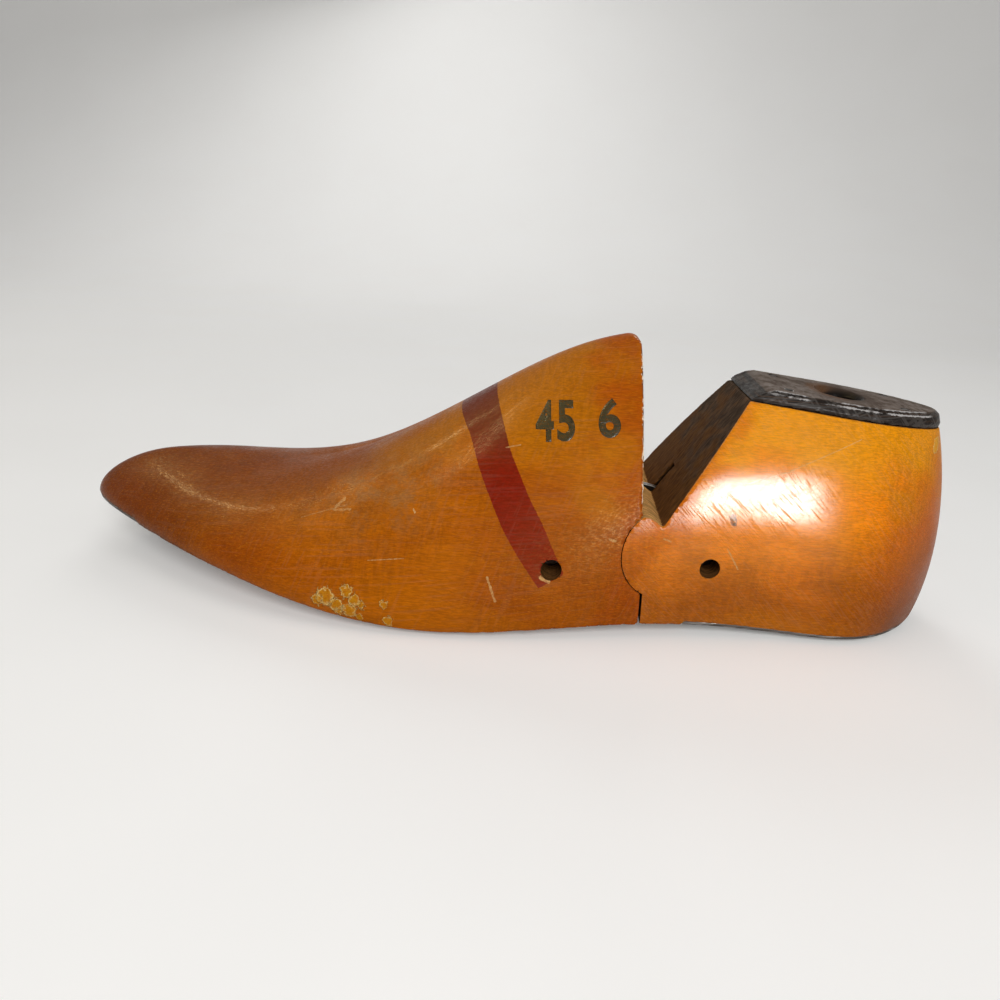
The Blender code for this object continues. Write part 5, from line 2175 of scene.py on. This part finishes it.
HEEL_NAILS = ((14, 0), (30, -20), (30, 20), (56, -22), (56, 22), (80, -16), (80, 16))
TOE_NAILS = ((283, 0), (283, 18), (295, 8))
NAIL_PROFILE = ((0.0, 0.62), (0.012, 1.0), (0.05, 0.92), (0.09, 0.75), (0.75, 0.6), (1.0, 0.3))
PIN_PROFILE = ((0.0, 0.72), (0.006, 0.92), (0.014, 1.0), (0.5, 1.0), (0.986, 1.0), (1.0, 0.8))
PALE = (0.62, 0.36, 0.14)
OUTER_MARKS = (
    Mark((151.1, 21.0), (148.1, 13.6), 0.4, 0.9, PALE),
    Mark((134.6, 21.6), (132.0, 20.3), 0.7, 0.8, PALE, 0.8),
    Mark((202.8, 33.9), (200.4, 36.1), 0.45, 0.9, PALE, 0.5),
    Mark((203.4, 33.2), (197.6, 34.2), 0.3, 0.9, PALE, 0.4),
    Mark((189.0, 22.6), (177.6, 24.4), 0.16, 0.3, PALE, 0.5),
    Mark((214.0, 29.8), (199.0, 35.0), 0.14, 0.3, PALE, 0.3),
    Mark((176.4, 37.4), (175.8, 36.8), 0.35, 0.5, PALE, 0.8),
    Mark((148.8, 57.3), (144.3, 58.6), 0.2, 0.3, PALE, 0.5),
    Mark((114.0, 33.9), (112.3, 33.4), 0.45, 0.7, PALE, 0.6),
)
CRUST = Mark((0, 0), (0, 0), 0.0, 4.4, (0.62, 0.29, 0.010), 0.5, 0.25, 0.65)
CRUST_SPOTS = (((201.6, 10.6), 3.2), ((204.4, 9.0), 2.2), ((198.2, 8.6), 2.4), ((195.0, 13.1), 2.2),
               ((192.2, 10.6), 2.1), ((190.0, 9.4), 1.4), ((193.8, 7.0), 2.5), ((197.2, 6.0), 1.5),
               ((190.4, 5.2), 1.3), ((182.6, 10.2), 1.5), ((181.4, 4.8), 1.8))
HEEL_MARKS = (
    Mark((73.2, 52.0), (59.8, 56.6), 0.16, 0.3, (0.75, 0.48, 0.20), 0.5),
    Mark((59.8, 56.6), (38.0, 67.4), 0.16, 0.3, (0.75, 0.48, 0.20), 0.5),
    Mark((76.2, 31.8), (72.0, 25.4), 0.28, 0.4, PALE),
    Mark((86.3, 40.9), (85.2, 39.8), 0.3, 0.4, PALE),
    Mark((97.0, 34.5), (94.6, 33.6), 0.3, 0.5, PALE, 0.6),
    Mark((75.9, 41.9), (75.2, 40.2), 1.1, 1.2, (0.06, 0.025, 0.01), 0.85),
    Mark((9.4, 66.0), (10.0, 63.8), 1.5, 1.8, (0.70, 0.38, 0.03), 0.6, 0.25, 0.6),
)


@dataclass(frozen=True)
class Studio:
    """Pale sweep, soft lamps and the camera."""

    aim: Point3 = (0.0, 0.0, 0.045)
    floor_color: Color = (0.90, 0.895, 0.88)
    floor_lift: float = 0.12
    bounce_color: Color = (0.24, 0.23, 0.21)
    lamp_warmth: Color = (1.0, 0.75, 0.35)
    room_color: tuple[float, float, float, float] = (1.0, 0.98, 0.95, 1.0)
    room_light: float = 0.22
    focal_length: float = 27.0
    sensor_width: float = 36.0
    nearest: float = 0.01
    camera_place: Point3 = (0.0124, -0.2534, 0.1283)
    camera_turn: Point3 = (68.631, -3.526, 4.079)

    def lamp(self, name: str, place: Point3, size: Point2, power: float, run: Point3 = (1.0, 0.0, 0.0),
             color: Color = (1.0, 1.0, 1.0)) -> Object:
        """Soft rectangular lamp that looks at the last.

        Args:
            name: Name of the lamp.
            place: Where it stands.
            size: Its width and height in metres.
            power: Its power in watts.
            run: Direction of its width.
            color: Its colour.

        Returns:
            The lamp.
        """
        light = bpy.data.lights.new(name, "AREA")
        light.shape = "ELLIPSE"
        light.size, light.size_y = size
        light.energy = power
        light.color = color
        thing = add_object(name, light)
        thing.location = place
        away = (Vector(place) - Vector(self.aim)).normalized()
        across = (Vector(run) - away * away.dot(Vector(run))).normalized()
        thing.rotation_euler = Matrix((across, away.cross(across), away)).transposed().to_euler()
        thing.visible_camera = False
        return thing

    def sweep(self) -> None:
        """Floor that curves up into a backdrop."""
        wide, front, back, high, bend = 4.0, -2.5, 1.4, 2.4, 0.7
        profile = [(front, 0.0), (back - bend, 0.0)]
        profile += [(back - bend + bend * math.sin(t), bend - bend * math.cos(t))
                    for t in np.linspace(0, math.pi / 2, 25)[1:]]
        profile.append((back, high))
        points = [(x, y, z) for x in (-wide, wide) for y, z in profile]
        count = len(profile)
        mesh = bpy.data.meshes.new("studio_sweep")
        mesh.from_pydata(points, [], [(i, i + count, i + count + 1, i + 1) for i in range(count - 1)])
        mesh.shade_smooth()
        thing = add_object("studio_sweep", mesh)
        material, w, shader = new_material("pale_paper")
        seen = w.add("ShaderNodeLightPath").outputs
        direct = w.largest(seen["Is Camera Ray"], seen["Is Glossy Ray"], seen["Is Transmission Ray"])
        tone = w.ramp(w.noise(w.place(), 0.01, 2.0), 0.3, 0.7, 0.98, 1.0)
        w.fill(shader, {
            "Base Color": w.scale(w.mix(direct, self.bounce_color, self.floor_color), tone),
            "Emission Color": w.scale(self.floor_color, direct),
            "Emission Strength": self.floor_lift,
            "Roughness": 0.75,
        })
        mesh.materials.append(material)

    def build(self) -> None:
        """Set up floor, lamps, world and camera."""
        scene = bpy.context.scene
        scene.view_settings.view_transform = "Standard"
        self.sweep()
        shown = [self.lamp("window_light", (0.388, -0.75, 0.21), (0.035, 0.22), 4.2),
                 self.lamp("window_glow", (0.41, -0.75, 0.20), (0.12, 0.34), 0.5),
                 self.lamp("toe_light", (-0.92, 0.45, 1.0), (0.26, 0.05), 2.8, (0.86, -0.5, 0.0),
                           self.lamp_warmth),
                 self.lamp("cone_light", (-0.62, -0.10, 1.0), (0.50, 0.07), 2.4, (0.0, 1.0, 0.0),
                           self.lamp_warmth)]
        for lamp in shown:
            lamp.visible_diffuse = False
        self.lamp("ceiling_light", (0.0, 0.1, 1.8), (1.4, 1.4), 4.2).visible_glossy = False
        self.lamp("fill_light", (0.15, -0.98, 0.74), (0.9, 0.7), 10.5).visible_glossy = False
        self.lamp("back_light", (-0.25, 1.15, 0.85), (0.9, 0.7), 4.0).visible_glossy = False
        world = bpy.data.worlds.new("pale_room")
        world.use_nodes = True
        background = world.node_tree.nodes["Background"].inputs
        background["Color"].default_value = self.room_color
        background["Strength"].default_value = self.room_light
        scene.world = world
        lens = bpy.data.cameras.new("camera")
        lens.lens = self.focal_length
        lens.sensor_width = self.sensor_width
        lens.sensor_fit = "HORIZONTAL"
        lens.clip_start = self.nearest
        camera = add_object("camera", lens)
        camera.location = self.camera_place
        camera.rotation_euler = [math.radians(angle) for angle in self.camera_turn]
        scene.camera = camera


def main() -> None:
    """Build the pieces of the last in order, then the studio round them."""
    logging.basicConfig(level=logging.INFO, format="%(message)s")
    effects = Effects()
    steel = AgedSteel("dull_steel").material(effects)
    spring = AgedSteel("spring_steel", bright=(0.85, 0.83, 0.80), polish=1.2, rust_amount=0.1,
                       side_shade=0.08, roughness=0.33).material(effects)
    blank = to_mesh("uncut_last", FORM.body())
    crusts = tuple(replace(CRUST, start=spot, end=spot, width=size) for spot, size in CRUST_SPOTS)
    fore_finish = VarnishedMaple("forepart_maple", red_plane=JOINT.cone_plane(), toe_range=(-60.0, -120.0),
                                 haze_spot=(-36.7, -25.5, 41.3), dull_range=(-73.0, -24.0),
                                 marks=OUTER_MARKS + crusts)
    heel_finish = VarnishedMaple("heel_maple", light=(0.87, 0.235, 0.002), deep=(0.68, 0.155, 0.001),
                                 gold=(0.92, 0.36, 0.006), red=(0.55, 0.105, 0.001),
                                 brown=(0.38, 0.066, 0.001), high=(0.77, 0.290, 0.003), high_amount=0.85,
                                 crest_shade_amount=0.0, sparkle=0.25, coat_weight=0.64, specular_level=0.20,
                                 dull_range=(112.0, 200.0), red_reach=9.0, toe_range=(108.0, 146.0),
                                 low_shade=0.58, sanded=0.9, red_plane=JOINT.v_plane(), marks=HEEL_MARKS)
    forepart = WoodHalf(Half.FOREPART, "forepart", fore_finish, JOINT.cone_plane(), 1.0).build(blank, effects)
    WoodHalf(Half.HEEL, "heel", heel_finish, JOINT.v_plane(), 0.12).build(blank, effects)
    top = TopPiece()
    top.build(effects)
    SolePlate("heel_tread_plate", "heel_plate", "heel", 0, JOINT.heel_plate_front - 0.3,
              HEEL_NAILS).build(steel)
    SolePlate("toe_tread_plate", "toe_plate", "forepart", JOINT.toe_plate_back + 0.3, FORM.length,
              TOE_NAILS).build(steel)
    Thimble().build(steel)
    SpringLink().build(spring)
    build_fasteners(top, steel)
    ink = StampInk().material(effects)
    for figure in (StampedNumber("4", (139.6, 60.0), 11.2, 5.8, math.radians(6)),
                   StampedNumber("5", (132.8, 60.8), 11.2, 5.6, math.radians(6)),
                   StampedNumber("6", (120.0, 62.8), 11.0, 7.0, math.radians(6))):
        figure.build(forepart, ink)
    Studio().build()


def build_fasteners(top: TopPiece, steel: Material) -> None:
    """Nails in the plates and the board, and the two hinge pins.

    Args:
        top: The board, for the height of its face.
        steel: Finish of the fasteners.
    """
    recess, flip, across = 0.15, (math.pi, 0.0, 0.0), (math.pi / 2, 0.0, 0.0)
    below = [[(a, y, bottom_z(a, y) + recess) for a, y in nails] for nails in (HEEL_NAILS, TOE_NAILS)]
    above = [(a, y, top.top_z(a, y) - recess) for a, y in top.nails]
    groups = (
        ("heel_plate_nails", "heel", "heel_plate_nail", below[0], flip),
        ("toe_plate_nails", "forepart", "toe_plate_nail", below[1], flip),
        ("top_piece_nails", "heel", "top_piece_nail", above, ORIGIN),
    )
    for name, body, node, places, tilt in groups:
        nodes = tuple(f"{node}_{number}" for number in range(1, len(places) + 1))
        TurnedParts(name, body, nodes, tuple(places), tilt, 1.2, 11.0, NAIL_PROFILE).build(steel)
    for name, body, node, pin, ends in (
            ("front_pin_rod", "forepart", "front_hinge_pin", JOINT.front_pin, (-34.0, 24.0)),
            ("back_pin_rod", "heel", "back_hinge_pin", JOINT.back_pin, (-26.0, 26.0))):
        place = (pin[0], ends[0], pin[1])
        TurnedParts(name, body, (node,), (place,), across, 3.0, ends[1] - ends[0], PIN_PROFILE).build(steel)


if __name__ == "__main__":
    main()
